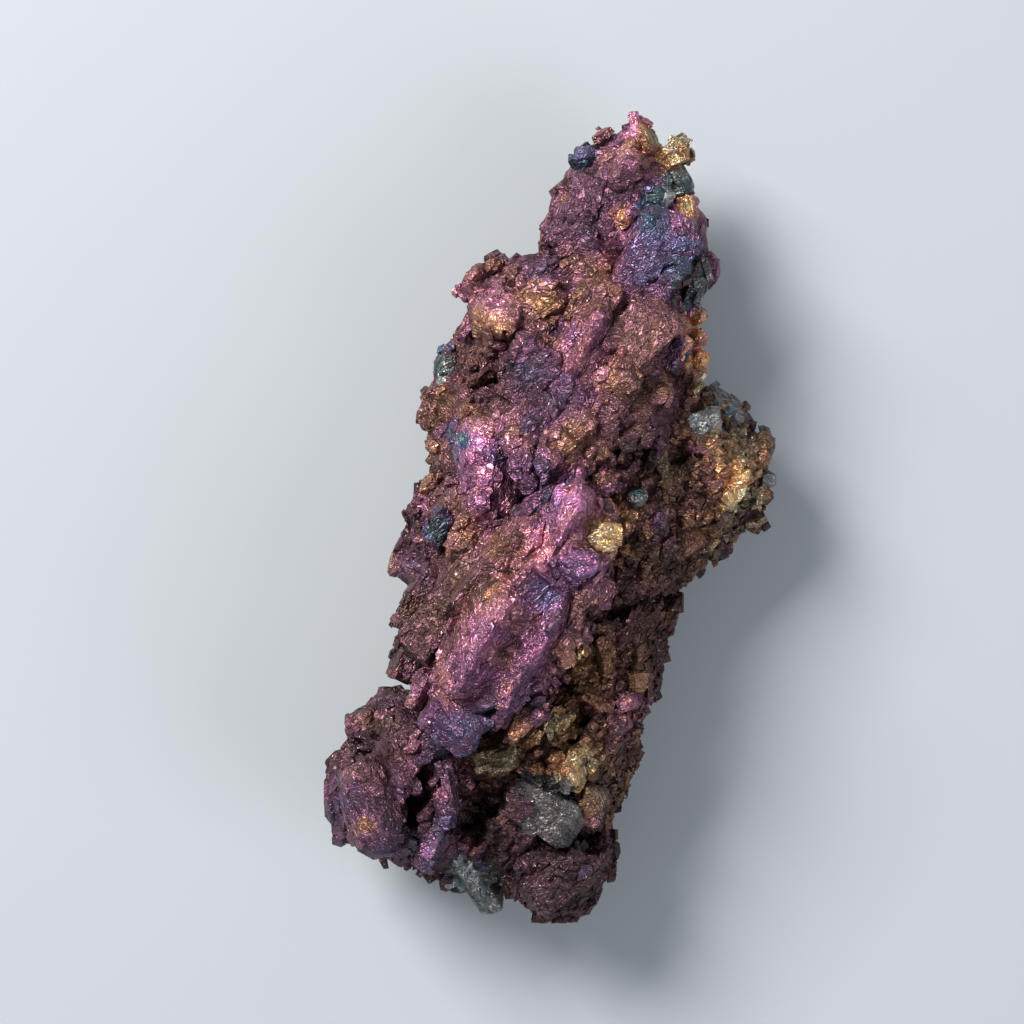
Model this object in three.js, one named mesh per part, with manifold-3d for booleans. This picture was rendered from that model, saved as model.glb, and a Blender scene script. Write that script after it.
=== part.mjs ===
// A chalcocite specimen as picked: one fused crystal mass lying on its back, ridge side up.
// +X is the side of the pale gold lobe, +Y runs up to the narrow spire, +Z points away from
// the surface that it lies on. Millimetres. The origin is under the middle of its box.
import * as THREE from "three";
import { ConvexGeometry } from "three/addons/geometries/ConvexGeometry.js";
import { mergeVertices } from "three/addons/utils/BufferGeometryUtils.js";
import Module from "manifold-3d";

const wasm = await Module();
wasm.setup();

// Driving dimensions, in millimetres.
const LENGTH = 51.2; // tip of the spire to the point of the foot block
const WIDTH = 28.6; // sheath at the lower left to the tip of the right lobe
const TABLE = 0; // the small worn flat that it rests on
const RIM = 6.6; // height of the widest line round the specimen
const DEEP = 30; // reach of the trimming blocks
const GRAIN_COUNT = 86; // small crystals grown all over the rind
const GRAIN_SMALL = 0.9;
const GRAIN_LARGE = 2.1;
const LUMP_POINTS = 13;
const KNOB_POINTS = 24;
const LOAF_SIDES = 8;
const UNEVEN = 0.16; // how far a crystal's corners stray from its regular shape
const UNEVEN_ROUND = 0.08; // the same for the smooth round ones
const ROLL = 0.7; // greatest turn of a crystal about its own length, in radians
const CHIP_TIP = 120; // spread of the ways that the rind's grains point, in degrees
const CHIP_SUNK = 0.15; // share of a grain's size that lies below the skin
const PIT_LIFT = 0.4; // a pit's middle above the skin that it is sunk into
const UNDERSIDE_SEED = 600;
const PIT_SEED = 400;
const GRAIN_SEED = 900;
const SAME_POINT = 1e-4;
const LEVEL = 1e-6; // a face whose normal rises less than this counts as upright
const GOLDEN_TURN = Math.PI * (3 - Math.sqrt(5));

// The large masses. Each is the convex hull of hand-placed corners: first those of its top,
// then those of its rim, then those of its underside.
const MASSES = {
  ridge: [
    [-7.8, -12.4, 15.0], [-4.6, -8.2, 16.9], [-0.9, -3.4, 17.4], [1.7, -0.2, 16.7], [2.6, 2.4, 14.8],
    [-3.6, -13.0, 13.4], [0.2, -10.6, 14.2], [2.6, -6.4, 15.0], [4.0, -2.0, 14.8],
    [-6.4, -4.2, 13.4], [-3.4, -0.2, 14.2],
    [-9.6, -9.4, RIM + 1], [-9.3, -5.8, RIM], [-8.4, -2.0, RIM], [-3.0, -14.0, RIM],
    [3.4, -8.4, RIM], [5.0, -1.0, RIM],
    [-6.2, -10.6, 1.0], [-2.2, -11.4, 0.4], [2.6, -3.0, 0.4], [-5.6, -2.6, 1.2],
  ],
  shoulder: [
    [-3.4, 4.6, 13.2], [0.6, 7.4, 14.2], [3.0, 10.4, 13.6], [5.6, 4.6, 12.8], [5.8, 12.0, 12.2],
    [-1.6, 12.0, 12.0], [2.0, 14.8, 11.6], [4.4, 16.6, 10.6],
    [-8.1, 4.6, RIM], [-7.9, 7.0, RIM], [-6.7, 10.2, RIM], [-6.0, 13.6, RIM], [-3.4, 15.6, RIM],
    [-1.4, 16.4, RIM], [2.2, 18.4, RIM], [8.8, 16.4, RIM],
    [-8.0, 1.0, RIM], [9.8, 14.2, RIM], [9.9, 11.2, RIM], [10.2, 8.6, RIM], [8.4, 2.4, RIM],
    [-5.0, 3.0, 1.6], [4.2, 1.0, 0.8], [6.0, 9.4, 1.0], [-2.4, 11.4, 1.4],
  ],
  spire: [
    [5.05, 25.3, 7.8], [5.0, 22.8, 9.8], [5.8, 19.2, 10.6], [6.2, 15.8, 12.2], [2.8, 18.0, 10.4],
    [7.8, 14.4, 11.0],
    [3.6, 24.0, RIM], [1.2, 22.8, RIM], [1.0, 20.6, RIM], [0.0, 18.8, RIM], [-0.9, 17.4, RIM],
    [6.8, 23.4, RIM], [8.7, 22.6, RIM], [9.0, 20.4, RIM], [9.0, 18.2, RIM], [10.2, 15.6, RIM],
    [3.0, 21.6, 3.0], [7.2, 21.0, 3.0], [1.8, 16.6, 2.0], [8.2, 15.0, 2.4],
  ],
  lobe: [
    [8.0, 4.8, 10.2], [11.0, 3.6, 9.8], [12.2, 2.0, 9.2], [9.2, -0.4, 9.4], [6.4, 1.0, 10.4],
    [8.6, 8.4, RIM], [12.2, 7.0, RIM - 1], [13.5, 5.0, RIM - 1], [13.9, 2.6, RIM - 1],
    [13.2, 0.4, RIM - 1], [11.4, -0.7, RIM - 1], [10.6, -2.4, RIM - 1], [8.4, -4.0, RIM - 1],
    [8.2, 5.2, 1.6], [11.2, 3.4, 2.2], [10.0, -0.8, 2.2], [5.6, -1.8, 0.8], [5.0, 4.0, 6.0],
  ],
  rubble: [
    [4.2, -5.6, 10.4], [5.4, -9.2, 10.2], [2.8, -11.2, 10.8], [-0.8, -13.8, 10.6],
    [1.4, -15.8, 11.4], [-2.4, -15.2, 11.0], [-0.6, -18.8, 10.8], [2.4, -19.2, 10.0],
    [7.9, -4.8, RIM], [7.8, -6.6, RIM], [7.1, -9.2, RIM], [6.1, -11.6, RIM], [5.7, -13.4, RIM],
    [4.2, -15.4, RIM], [3.7, -17.8, RIM], [3.6, -20.0, RIM], [-3.0, -19.6, RIM],
    [4.8, -8.0, 1.0], [2.8, -14.0, 0.6], [-1.8, -14.6, 0.8], [0.2, -18.2, 1.2],
  ],
  foot: [
    [0.6, -21.4, 10.4], [2.2, -21.0, 10.0], [0.2, -23.4, 9.8], [-1.4, -21.4, 9.8],
    [3.8, -20.6, RIM], [3.6, -22.6, RIM], [2.8, -23.5, RIM], [1.6, -24.6, RIM], [0.8, -25.9, RIM],
    [-0.7, -25.5, RIM], [-2.1, -23.7, RIM], [-2.6, -21.4, RIM],
    [1.0, -22.2, 1.8], [-1.0, -21.4, 1.8], [2.2, -20.0, 1.2], [-1.0, -18.6, 1.0],
  ],
  haunch: [
    [-9.0, -17.0, 12.4], [-11.2, -13.6, 10.8], [-6.4, -16.8, 12.2], [-6.2, -21.0, 10.4],
    [-6.8, -13.4, 13.6], [-11.4, -18.6, 11.4],
    [-13.8, -19.4, RIM], [-14.1, -17.2, RIM], [-13.3, -15.4, RIM], [-13.2, -14.0, RIM],
    [-12.2, -12.6, RIM], [-10.3, -10.9, RIM], [-13.0, -20.3, RIM], [-10.7, -21.4, RIM],
    [-9.2, -21.8, RIM], [-7.4, -22.8, RIM], [-5.2, -23.8, RIM], [-4.0, -21.6, RIM],
    [-10.8, -16.8, 1.8], [-7.0, -19.6, 1.4], [-5.4, -15.6, 0.2], [-8.6, -11.6, 1.6],
  ],
  saddle: [
    [-5.8, -13.2, 11.4], [-1.8, -14.0, 11.0], [-1.0, -20.6, 9.4], [-4.6, -21.4, 9.2],
    [-7.2, -18.0, 9.8], [-1.2, -23.2, RIM], [-3.0, -23.4, RIM], [-7.4, -22.0, RIM],
    [-5.4, -14.4, 1.0], [-1.2, -15.0, 0.8], [-1.6, -20.4, 1.6], [-5.0, -19.8, 1.4],
  ],
  cheek: [
    [-4.2, 2.4, 13.2], [-4.4, -2.4, 13.2], [-7.2, 0.2, 10.6], [-8.3, 2.2, RIM], [-9.4, -2.6, RIM],
    [-9.0, -4.8, RIM], [-3.0, 0.0, 13.4], [-6.6, 1.4, 1.8], [-7.0, -3.0, 1.4], [-3.0, 0.0, 1.0],
  ],
  neck: [
    [4.4, 5.4, 10.6], [8.8, 7.6, 8.6], [8.6, 3.0, 10.0], [7.2, -3.4, 9.4], [4.4, -5.8, 10.6],
    [3.6, -0.4, 12.2], [8.2, -4.2, RIM], [8.2, 9.4, RIM], [3.2, 4.0, 1.0], [8.0, 3.6, 2.0],
    [6.2, -4.8, 1.4], [3.0, -5.4, 1.0],
  ],
  belly: [
    [-8.4, -12.2, 5.6], [-8.2, -1.0, 6.2], [-6.8, 7.6, 5.4], [-3.4, 13.0, 6.4], [6.0, 16.0, 6.6],
    [8.4, 10.6, 5.8], [7.8, 2.0, 5.2], [6.4, -6.4, 6.0], [3.6, -14.6, 5.4], [-0.4, -20.2, 6.0],
    [-6.8, -20.0, 5.6], [-6.2, -16.4, 2.6], [2.4, -16.4, 2.4], [4.6, 11.4, 2.8], [-3.6, 9.6, 2.4],
    [-3.8, -9.6, -0.9], [1.2, -10.4, -0.9], [2.9, 0.6, -0.9], [1.6, 5.6, -0.9],
    [-1.6, 5.2, -0.9], [-3.6, -0.4, -0.9],
  ],
  brow: [
    [-2.2, 2.2, 14.4], [1.8, 3.4, 14.2], [4.6, 3.0, 13.0], [5.6, 5.4, 12.6], [0.8, 6.6, 13.8],
    [-3.0, 5.0, 14.2], [3.4, 1.2, 13.2], [-2.4, 2.0, 7.0], [5.4, 1.6, 7.0], [6.0, 6.0, 7.0],
    [-3.4, 6.4, 7.0],
  ],
  beak: [
    [-5.5, 14.4, 8.4], [-5.1, 15.1, 9.6], [-1.4, 14.0, 11.2], [-2.7, 11.2, 13.4],
    [-5.4, 13.2, 9.8], [-4.4, 11.0, 8.6], [-1.6, 11.2, 9.0],
  ],
};

// The named crystals, blocks and knobs: shape, x, y, how far the top stands above the masses,
// length, width, height, turn of the length from +X in degrees, and tip of its far end.
const CRYSTALS = [
  // On the spire.
  ["wedge", 5.5, 24.3, 0.9, 3.0, 2.5, 2.8, 108, 0],
  ["lump", 2.3, 22.7, 0.9, 2.4, 2.1, 2.6, 30, 0],
  ["lump", 3.3, 23.9, 0.5, 1.3, 1.2, 1.8, 80, 0],
  ["block", 7.8, 22.9, 0.9, 2.1, 1.7, 2.4, 25, 10],
  ["lump", 8.1, 21.0, 1.0, 2.4, 2.2, 2.6, 60, 0],
  ["block", 8.4, 19.4, 0.7, 1.6, 1.2, 2.0, 100, 0],
  ["lump", 6.5, 19.9, 0.7, 2.4, 2.0, 2.4, 20, 0],
  ["knob", 4.7, 18.7, 1.0, 1.4, 1.4, 2.0, 0, 0],
  ["block", 1.7, 17.8, 0.9, 3.3, 2.2, 2.8, 35, 12],
  ["block", 2.3, 19.9, 0.9, 3.0, 2.5, 2.8, 75, -8],
  ["prism", 4.6, 21.7, 0.7, 2.6, 1.8, 2.2, 60, 10],
  ["plate", 3.7, 17.0, 1.2, 1.4, 0.5, 1.8, -60, 0],
  ["block", 6.2, 16.2, 0.7, 6.4, 4.6, 4.6, 62, 6],
  ["prism", 8.9, 14.5, 0.8, 3.8, 2.0, 3.0, 72, 0],
  ["lump", 9.8, 15.7, 0.2, 2.7, 1.7, 2.6, 85, 0],
  // On the shoulder.
  ["block", 2.4, 15.6, 0.6, 3.4, 2.6, 2.8, 40, 8],
  ["block", 2.9, 13.4, 0.7, 3.6, 2.9, 3.2, 62, -6],
  ["block", -0.6, 13.2, 0.7, 3.4, 2.6, 3.2, 28, 6],
  ["block", -0.2, 15.2, 0.6, 2.6, 2.0, 3.2, 38, 0],
  ["lump", -3.4, 16.1, 1.0, 1.8, 1.7, 3.0, 0, 0],
  ["lump", -4.5, 15.2, 0.7, 2.2, 1.8, 3.4, 40, 0],
  ["block", -4.9, 11.8, 1.0, 1.5, 1.0, 2.4, 60, 0],
  ["block", -6.4, 9.8, 0.9, 1.7, 1.2, 2.2, 75, 0],
  ["lump", -6.8, 8.9, 0.7, 1.4, 1.2, 2.0, 0, 0],
  ["block", -1.4, 9.0, 0.7, 4.4, 3.6, 3.6, 58, 5],
  ["roof", 2.0, 10.3, 0.9, 7.0, 4.4, 4.2, 68, 4],
  ["block", 5.5, 11.4, 0.7, 4.2, 3.6, 3.2, 48, -5],
  ["block", 4.2, 8.6, 0.6, 2.8, 2.3, 2.8, 30, 8],
  ["block", 7.6, 10.3, 0.6, 2.4, 2.0, 2.8, 70, 0],
  ["lump", 9.3, 12.8, 0.8, 1.5, 1.4, 2.2, 0, 0],
  ["lump", 9.3, 11.4, 0.7, 1.5, 1.2, 2.2, 50, 0],
  ["lump", 9.5, 9.9, 0.7, 1.6, 1.2, 2.2, 80, 0],
  ["plate", 9.0, 8.1, 1.0, 1.7, 0.6, 2.2, 70, 0],
  ["lump", -7.4, 6.6, 0.5, 3.4, 2.0, 3.4, 88, 0],
  ["lump", -7.3, 4.6, 0.6, 1.5, 1.3, 2.2, 0, 0],
  ["lump", -7.4, 2.2, 0.6, 1.7, 1.4, 2.4, 30, 0],
  ["loaf", -3.8, 3.0, 3.0, 7.4, 4.5, 5.6, 97, -4],
  ["block", -0.5, 3.1, 1.0, 2.8, 2.0, 3.0, 62, 10],
  ["block", 0.3, 4.3, 0.8, 2.6, 1.9, 2.6, 40, 0],
  ["block", -0.7, 0.7, 0.7, 2.8, 1.9, 2.6, 42, 0],
  ["block", 1.4, 5.4, 0.7, 3.2, 2.2, 2.8, 52, 0],
  ["block", -0.7, 6.3, 0.6, 3.2, 2.4, 2.8, 70, 4],
  ["prism", 6.4, 7.6, 0.6, 2.2, 1.6, 2.4, 15, 0],
  ["block", 3.4, 6.4, 0.5, 2.8, 2.2, 2.6, 65, 6],
  // On the right lobe.
  ["plate", 11.4, 7.2, 0.8, 3.4, 1.4, 3.8, -40, 0],
  ["block", 9.6, 6.0, 1.2, 1.9, 1.5, 2.6, 10, 0],
  ["block", 9.8, 4.3, 1.0, 1.7, 1.3, 2.4, 35, 0],
  ["plate", 7.2, 3.0, 1.0, 3.8, 0.6, 2.2, -84, 0],
  ["lump", 5.3, 1.3, 1.0, 1.8, 1.6, 2.4, 20, 0],
  ["lump", 6.7, -0.3, 1.0, 2.0, 1.8, 2.4, 60, 0],
  ["lump", 11.1, 1.7, 0.9, 3.2, 2.0, 2.8, 84, 0],
  ["lump", 11.8, 3.1, 0.9, 1.8, 1.3, 2.2, 70, 0],
  ["lump", 13.5, 4.6, 1.0, 2.2, 1.9, 3.0, 60, 0],
  ["lump", 13.2, 2.4, 0.8, 2.0, 1.7, 2.8, 0, 0],
  ["lump", 12.9, -0.2, 0.3, 1.3, 1.2, 2.4, 0, 0],
  ["block", 8.5, -1.6, 0.9, 2.4, 1.8, 2.6, 35, 0],
  ["lump", 10.4, -1.8, 0.7, 2.4, 2.0, 2.8, 20, 0],
  // On the ridge.
  ["block", -3.2, -2.9, 0.5, 8.4, 2.6, 2.6, 46, 4],
  ["block", -7.5, -5.2, 0.6, 4.8, 3.4, 3.4, 54, 4],
  ["wedge", 1.1, 1.2, 0.6, 4.4, 2.2, 3.0, 66, 4],
  ["plate", -1.2, -1.4, 0.6, 3.2, 1.6, 1.8, 58, 3],
  ["wedge", -0.4, -3.4, 0.6, 2.0, 1.3, 2.0, -50, 0],
  ["knob", 1.5, -2.8, 1.0, 2.9, 2.5, 2.8, 40, 0],
  ["lump", 3.3, -1.2, 2.2, 2.5, 2.1, 3.2, 25, 0],
  ["roof", -4.0, -7.2, 0.8, 7.4, 5.6, 3.6, 62, 3],
  ["roof", -1.2, -7.6, 0.9, 8.4, 5.2, 3.8, 60, 4],
  ["roof", 0.3, -1.2, 0.6, 7.4, 4.2, 3.4, 62, 3],
  ["block", -5.9, -5.4, 0.5, 8.0, 3.4, 3.0, 50, 2],
  ["block", 1.7, -6.0, 0.4, 5.6, 2.4, 3.0, 62, 0],
  ["block", -1.9, -11.3, 0.9, 3.8, 3.0, 3.4, 44, 0],
  ["block", -4.0, -11.1, 0.9, 2.6, 1.7, 2.4, 20, 8],
  ["prism", -6.0, -12.5, 1.8, 3.7, 3.5, 3.8, -32, -8],
  ["prism", -7.9, -10.5, 1.0, 2.8, 1.4, 2.4, 62, 0],
  ["block", -8.4, -8.0, 0.9, 4.2, 2.2, 3.0, 66, 0],
  ["lump", -8.3, -3.0, 1.6, 2.9, 2.8, 4.0, 0, 0],
  ["lump", -9.6, -2.9, 1.0, 1.6, 1.9, 3.0, 0, 0],
  ["block", -6.9, -0.6, 1.1, 2.3, 1.5, 2.6, 62, 0],
  ["lump", -5.2, -1.7, 1.5, 3.2, 2.6, 3.2, 25, 0],
  // On the haunch at the lower left.
  ["loaf", -10.9, -17.8, 1.9, 6.8, 4.4, 5.0, -74, 0],
  ["block", -9.2, -15.4, 0.8, 3.8, 2.4, 3.2, -70, 0],
  ["plate", -8.7, -13.9, 0.9, 2.0, 0.6, 2.2, 50, 0],
  ["lump", -13.5, -18.0, 0.5, 3.8, 2.1, 3.4, -78, 0],
  ["lump", -11.6, -12.9, 1.0, 3.6, 2.6, 3.4, 42, 0],
  ["prism", -6.5, -16.9, 1.3, 3.8, 1.8, 3.2, -80, 0],
  ["prism", -7.2, -19.8, 1.3, 4.2, 1.8, 3.2, 65, -6],
  ["prism", -4.9, -22.6, 1.2, 5.0, 2.0, 3.4, -53, -8],
  ["lump", -4.8, -20.3, 0.7, 2.2, 1.9, 2.8, 0, 0],
  // On the rubble side at the lower right.
  ["lump", -1.2, -13.6, 0.9, 1.7, 1.5, 2.2, 0, 0],
  ["lump", 0.0, -12.8, 0.9, 1.4, 1.2, 2.0, 40, 0],
  ["block", -3.4, -14.9, 1.1, 2.6, 1.8, 2.6, 12, 0],
  ["lump", 1.3, -15.8, 1.1, 2.8, 2.2, 2.8, 80, 0],
  ["lump", 2.0, -9.0, 1.1, 1.4, 1.2, 2.2, 30, 0],
  ["prism", 3.3, -8.2, 1.2, 3.0, 1.1, 2.2, 95, 0],
  ["block", 2.9, -11.3, 1.1, 2.1, 0.7, 1.8, -29, 0],
  ["block", 4.8, -11.5, 0.9, 1.3, 1.1, 1.8, 20, 0],
  ["lump", 5.3, -10.0, 0.9, 1.5, 1.3, 2.2, 0, 0],
  ["block", 4.1, -13.0, 0.9, 1.8, 1.3, 2.2, 65, 0],
  ["block", 5.6, -6.4, 1.0, 2.6, 1.9, 2.6, 55, 10],
  ["lump", 7.6, -5.4, 0.6, 1.8, 1.6, 2.6, 0, 0],
  ["block", -0.5, -18.4, 0.9, 4.8, 2.9, 3.4, -26, -6],
  ["block", 2.4, -17.8, 0.8, 2.6, 1.9, 2.8, 70, 0],
  ["block", 0.4, -22.4, 0.7, 4.2, 2.9, 3.4, 42, -6],
  ["lump", 2.2, -21.6, 0.8, 2.2, 1.8, 2.6, 0, 0],
  ["block", -1.6, -22.6, 0.8, 2.4, 1.9, 2.8, 65, 0],
];

// Lumps and blocks of the underside: shape, middle x, y and z, length, width, height, turn.
const UNDERSIDE = [
  ["lump", -7.4, -14.4, 3.4, 5.2, 4.2, 3.6, 30],
  ["block", -1.8, -17.0, 2.6, 4.6, 3.4, 3.4, 62],
  ["block", 4.6, -9.6, 3.2, 5.2, 3.0, 3.6, 76],
  ["block", 5.8, 6.2, 2.8, 5.4, 3.6, 3.8, 22],
  ["lump", -4.8, 8.4, 2.8, 4.8, 3.8, 3.6, 50],
  ["block", -6.2, -5.0, 3.0, 5.4, 3.2, 3.8, 96],
  ["lump", 1.4, 12.4, 2.8, 5.2, 4.2, 3.6, 12],
  ["block", 6.4, 14.6, 3.6, 4.4, 3.2, 3.4, 50],
  ["lump", 0.6, -21.2, 2.6, 3.8, 3.4, 3.2, 0],
  ["block", 4.8, 20.0, 4.0, 4.4, 3.2, 3.0, 72],
  ["block", 9.6, 1.8, 2.8, 4.4, 3.2, 3.2, 48],
  ["lump", 5.4, -1.6, 2.6, 4.4, 3.8, 3.8, 80],
];

// Clefts and pits sunk into the skin: x, y, length, width, depth, turn.
const PITS = [
  [-4.6, -18.2, 5.0, 3.2, 6.2, 76],
  [-8.2, -17.8, 5.6, 1.5, 4.4, 75],
  [-1.6, -12.2, 4.8, 1.5, 4.4, 40],
  [3.0, -6.3, 3.4, 1.7, 5.0, 60],
  [1.0, -9.6, 5.0, 1.6, 6.0, 60],
  [2.0, -12.4, 2.6, 1.5, 3.0, 40],
  [-0.2, -14.6, 2.8, 1.2, 2.6, 25],
  [1.6, -13.6, 2.0, 1.3, 2.6, 50],
  [2.3, -20.3, 2.2, 1.6, 3.0, 20],
  [4.6, -8.9, 1.9, 1.4, 2.6, 70],
  [5.7, -3.0, 2.8, 1.2, 2.6, 50],
  [8.4, 4.0, 2.2, 1.6, 2.4, 60],
  [5.0, 3.6, 3.4, 1.5, 2.4, 20],
  [3.2, 2.8, 2.0, 1.3, 2.2, 30],
  [7.1, 10.9, 2.4, 1.0, 2.4, 55],
  [-1.1, 3.0, 3.6, 0.6, 2.6, 99],
  [0.4, 1.9, 2.4, 0.6, 2.0, 30],
  [-4.0, 8.4, 2.6, 1.7, 3.2, 40],
  [-3.3, 10.2, 2.6, 1.1, 2.6, 60],
  [-5.2, 9.4, 1.9, 1.2, 2.6, 70],
  [6.5, 15.0, 2.2, 0.7, 1.6, 40],
  [-11.7, -14.4, 2.0, 1.2, 2.4, 30],
];

// A repeatable number from 0 to 1 for a seed and a salt.
function chance(seed, salt) {
  const wave = Math.sin(seed * 12.9898 + salt * 78.233) * 43758.5453;
  return wave - Math.floor(wave);
}

// One ring of a crystal: the corners of a regular polygon at a place along its length.
function ring(along, radius, sides, start) {
  return Array.from({ length: sides }, (_, k) => {
    const angle = start + (k * 2 * Math.PI) / sides;
    return new THREE.Vector3(along, radius * Math.cos(angle), radius * Math.sin(angle));
  });
}

// Points spread evenly over a ball: their height falls by steps, each a golden turn further on.
function ball(count) {
  return Array.from({ length: count }, (_, k) => {
    const height = 1 - (2 * k + 1) / count;
    const radius = Math.sqrt(1 - height * height);
    const angle = k * GOLDEN_TURN;
    return new THREE.Vector3(height, radius * Math.cos(angle), radius * Math.sin(angle));
  });
}

// The corners of each shape, in a box from -1 to 1 with its length along X.
const SHAPES = {
  prism: () => [...ring(-1, 0.8, 6, 0), ...ring(0.7, 1, 6, 0), ...ring(1, 0.6, 6, 0)],
  block: () => {
    const corner = Math.PI / 4;
    return [...ring(-1, 1.1, 4, corner), ...ring(0.7, 1.3, 4, corner), ...ring(1, 0.85, 4, corner)];
  },
  plate: () => [...ring(-1, 0.4, 4, 0), ...ring(0.2, 1, 4, 0), ...ring(1, 0.3, 4, 0)],
  chip: () => [...ring(-1, 1.2, 4, 0), ...ring(1, 1.0, 4, 0)],
  wedge: () => [
    ...ring(-1, 0.8, 4, 0), ...ring(-0.5, 1, 4, 0), new THREE.Vector3(1, 0, 0),
  ],
  roof: () => {
    const top = Math.PI / 2;
    return [...ring(-1, 0.8, 3, top), ...ring(0.6, 1.1, 3, top), ...ring(1, 0.5, 3, top)];
  },
  loaf: () => [
    ...ring(-1, 0.55, LOAF_SIDES, 0), ...ring(-0.7, 0.9, LOAF_SIDES, 0),
    ...ring(0.6, 1, LOAF_SIDES, 0), ...ring(1, 0.6, LOAF_SIDES, 0),
  ],
  lump: () => ball(LUMP_POINTS),
  knob: () => ball(KNOB_POINTS),
};

// Turns a closed three.js geometry into a solid that can be joined and cut.
function solidOf(geometry) {
  geometry.deleteAttribute("normal");
  geometry.deleteAttribute("uv");
  const merged = mergeVertices(geometry, SAME_POINT);
  return new wasm.Manifold(new wasm.Mesh({
    numProp: 3,
    vertProperties: new Float32Array(merged.attributes.position.array),
    triVerts: new Uint32Array(merged.index.array),
  }));
}

// Places the corners of a shape: each is nudged a little, sized, tipped, turned and moved.
function placed(shape, seed, size, turn, tip, at) {
  const uneven = shape === "knob" || shape === "loaf" ? UNEVEN_ROUND : UNEVEN;
  const pose = new THREE.Matrix4().makeRotationFromEuler(
    new THREE.Euler((chance(seed, 9) - 0.5) * ROLL, -THREE.MathUtils.degToRad(tip),
      THREE.MathUtils.degToRad(turn), "ZYX"),
  );
  return SHAPES[shape]().map((corner, k) => {
    const nudge = new THREE.Vector3(
      chance(seed, 3 * k + 1) - 0.5, chance(seed, 3 * k + 2) - 0.5, chance(seed, 3 * k + 3) - 0.5,
    );
    return corner.addScaledVector(nudge, uneven)
      .multiply(new THREE.Vector3(size[0] / 2, size[1] / 2, size[2] / 2))
      .applyMatrix4(pose)
      .add(at);
  });
}

// The flat faces of each mass, as planes that look outwards.
const massFaces = Object.values(MASSES).map((corners) => {
  const hull = new ConvexGeometry(corners.map((corner) => new THREE.Vector3(...corner)));
  const spots = hull.attributes.position;
  const faces = [];
  for (let k = 0; k < spots.count; k += 3) {
    const three = [0, 1, 2].map((step) => new THREE.Vector3().fromBufferAttribute(spots, k + step));
    faces.push(new THREE.Plane().setFromCoplanarPoints(...three));
  }
  return faces;
});

// Height of the masses' skin over a point, or of the rim where there is none under it.
function skinHeight(x, y) {
  let height = RIM;
  for (const faces of massFaces) {
    let top = Infinity;
    let bottom = -Infinity;
    for (const { normal, constant } of faces) {
      const reach = -(normal.x * x + normal.y * y + constant);
      if (normal.z > LEVEL) {
        top = Math.min(top, reach / normal.z);
      } else if (normal.z < -LEVEL) {
        bottom = Math.max(bottom, reach / normal.z);
      } else if (reach < 0) {
        top = -Infinity;
      }
    }
    if (top > bottom) {
      height = Math.max(height, top);
    }
  }
  return height;
}

// A named crystal standing out of the skin by its rise.
function namedCrystal([shape, x, y, rise, length, width, height, turn, tip], seed) {
  const at = new THREE.Vector3(x, y, skinHeight(x, y) + rise - height / 2);
  return solidOf(new ConvexGeometry(placed(shape, seed, [length, width, height], turn, tip, at)));
}

// A lump of the underside, placed by its own middle.
function underLump([shape, x, y, z, length, width, height, turn], seed) {
  const at = new THREE.Vector3(x, y, z);
  return solidOf(new ConvexGeometry(placed(
    shape, seed + UNDERSIDE_SEED, [length, width, height], turn, 0, at,
  )));
}

// A cleft or pit, centred on the skin so that its lower half cuts down to its depth.
function pit([x, y, length, width, depth, turn], seed) {
  const at = new THREE.Vector3(x, y, skinHeight(x, y) + PIT_LIFT);
  return solidOf(new ConvexGeometry(placed(
    "lump", seed + PIT_SEED, [length, width, 2 * depth], turn, 0, at,
  )));
}

// A small crystal grown on a mass: a random direction from the mass's middle meets its skin.
function grain(seed) {
  const masses = Object.values(MASSES);
  const pick = Math.floor(chance(seed, 21) * masses.length);
  const middle = masses[pick]
    .reduce((sum, corner) => sum.add(new THREE.Vector3(...corner)), new THREE.Vector3())
    .divideScalar(masses[pick].length);
  const rise = 1.5 * chance(seed, 22) - 1;
  const round = 2 * Math.PI * chance(seed, 23);
  const flat = Math.sqrt(1 - rise * rise);
  const way = new THREE.Vector3(flat * Math.cos(round), flat * Math.sin(round), rise);
  let reach = Infinity;
  for (const face of massFaces[pick]) {
    const facing = face.normal.dot(way);
    if (facing > LEVEL) {
      reach = Math.min(reach, -face.distanceToPoint(middle) / facing);
    }
  }
  const size = GRAIN_SMALL + (GRAIN_LARGE - GRAIN_SMALL) * chance(seed, 24) ** 2;
  const at = middle.addScaledVector(way, reach - CHIP_SUNK * size);
  const turn = 360 * chance(seed, 26);
  const tip = CHIP_TIP * (chance(seed, 27) - 0.5);
  return solidOf(new ConvexGeometry(
    placed("chip", seed + GRAIN_SEED, [1.3 * size, size, 0.9 * size], turn, tip, at),
  ));
}

// A trimming block that takes away all that lies past a limit on one side.
function trim(low, high) {
  const size = new THREE.Vector3().subVectors(high, low);
  const block = new THREE.BoxGeometry(size.x, size.y, size.z);
  block.translate((low.x + high.x) / 2, (low.y + high.y) / 2, (low.z + high.z) / 2);
  return solidOf(block);
}

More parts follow.
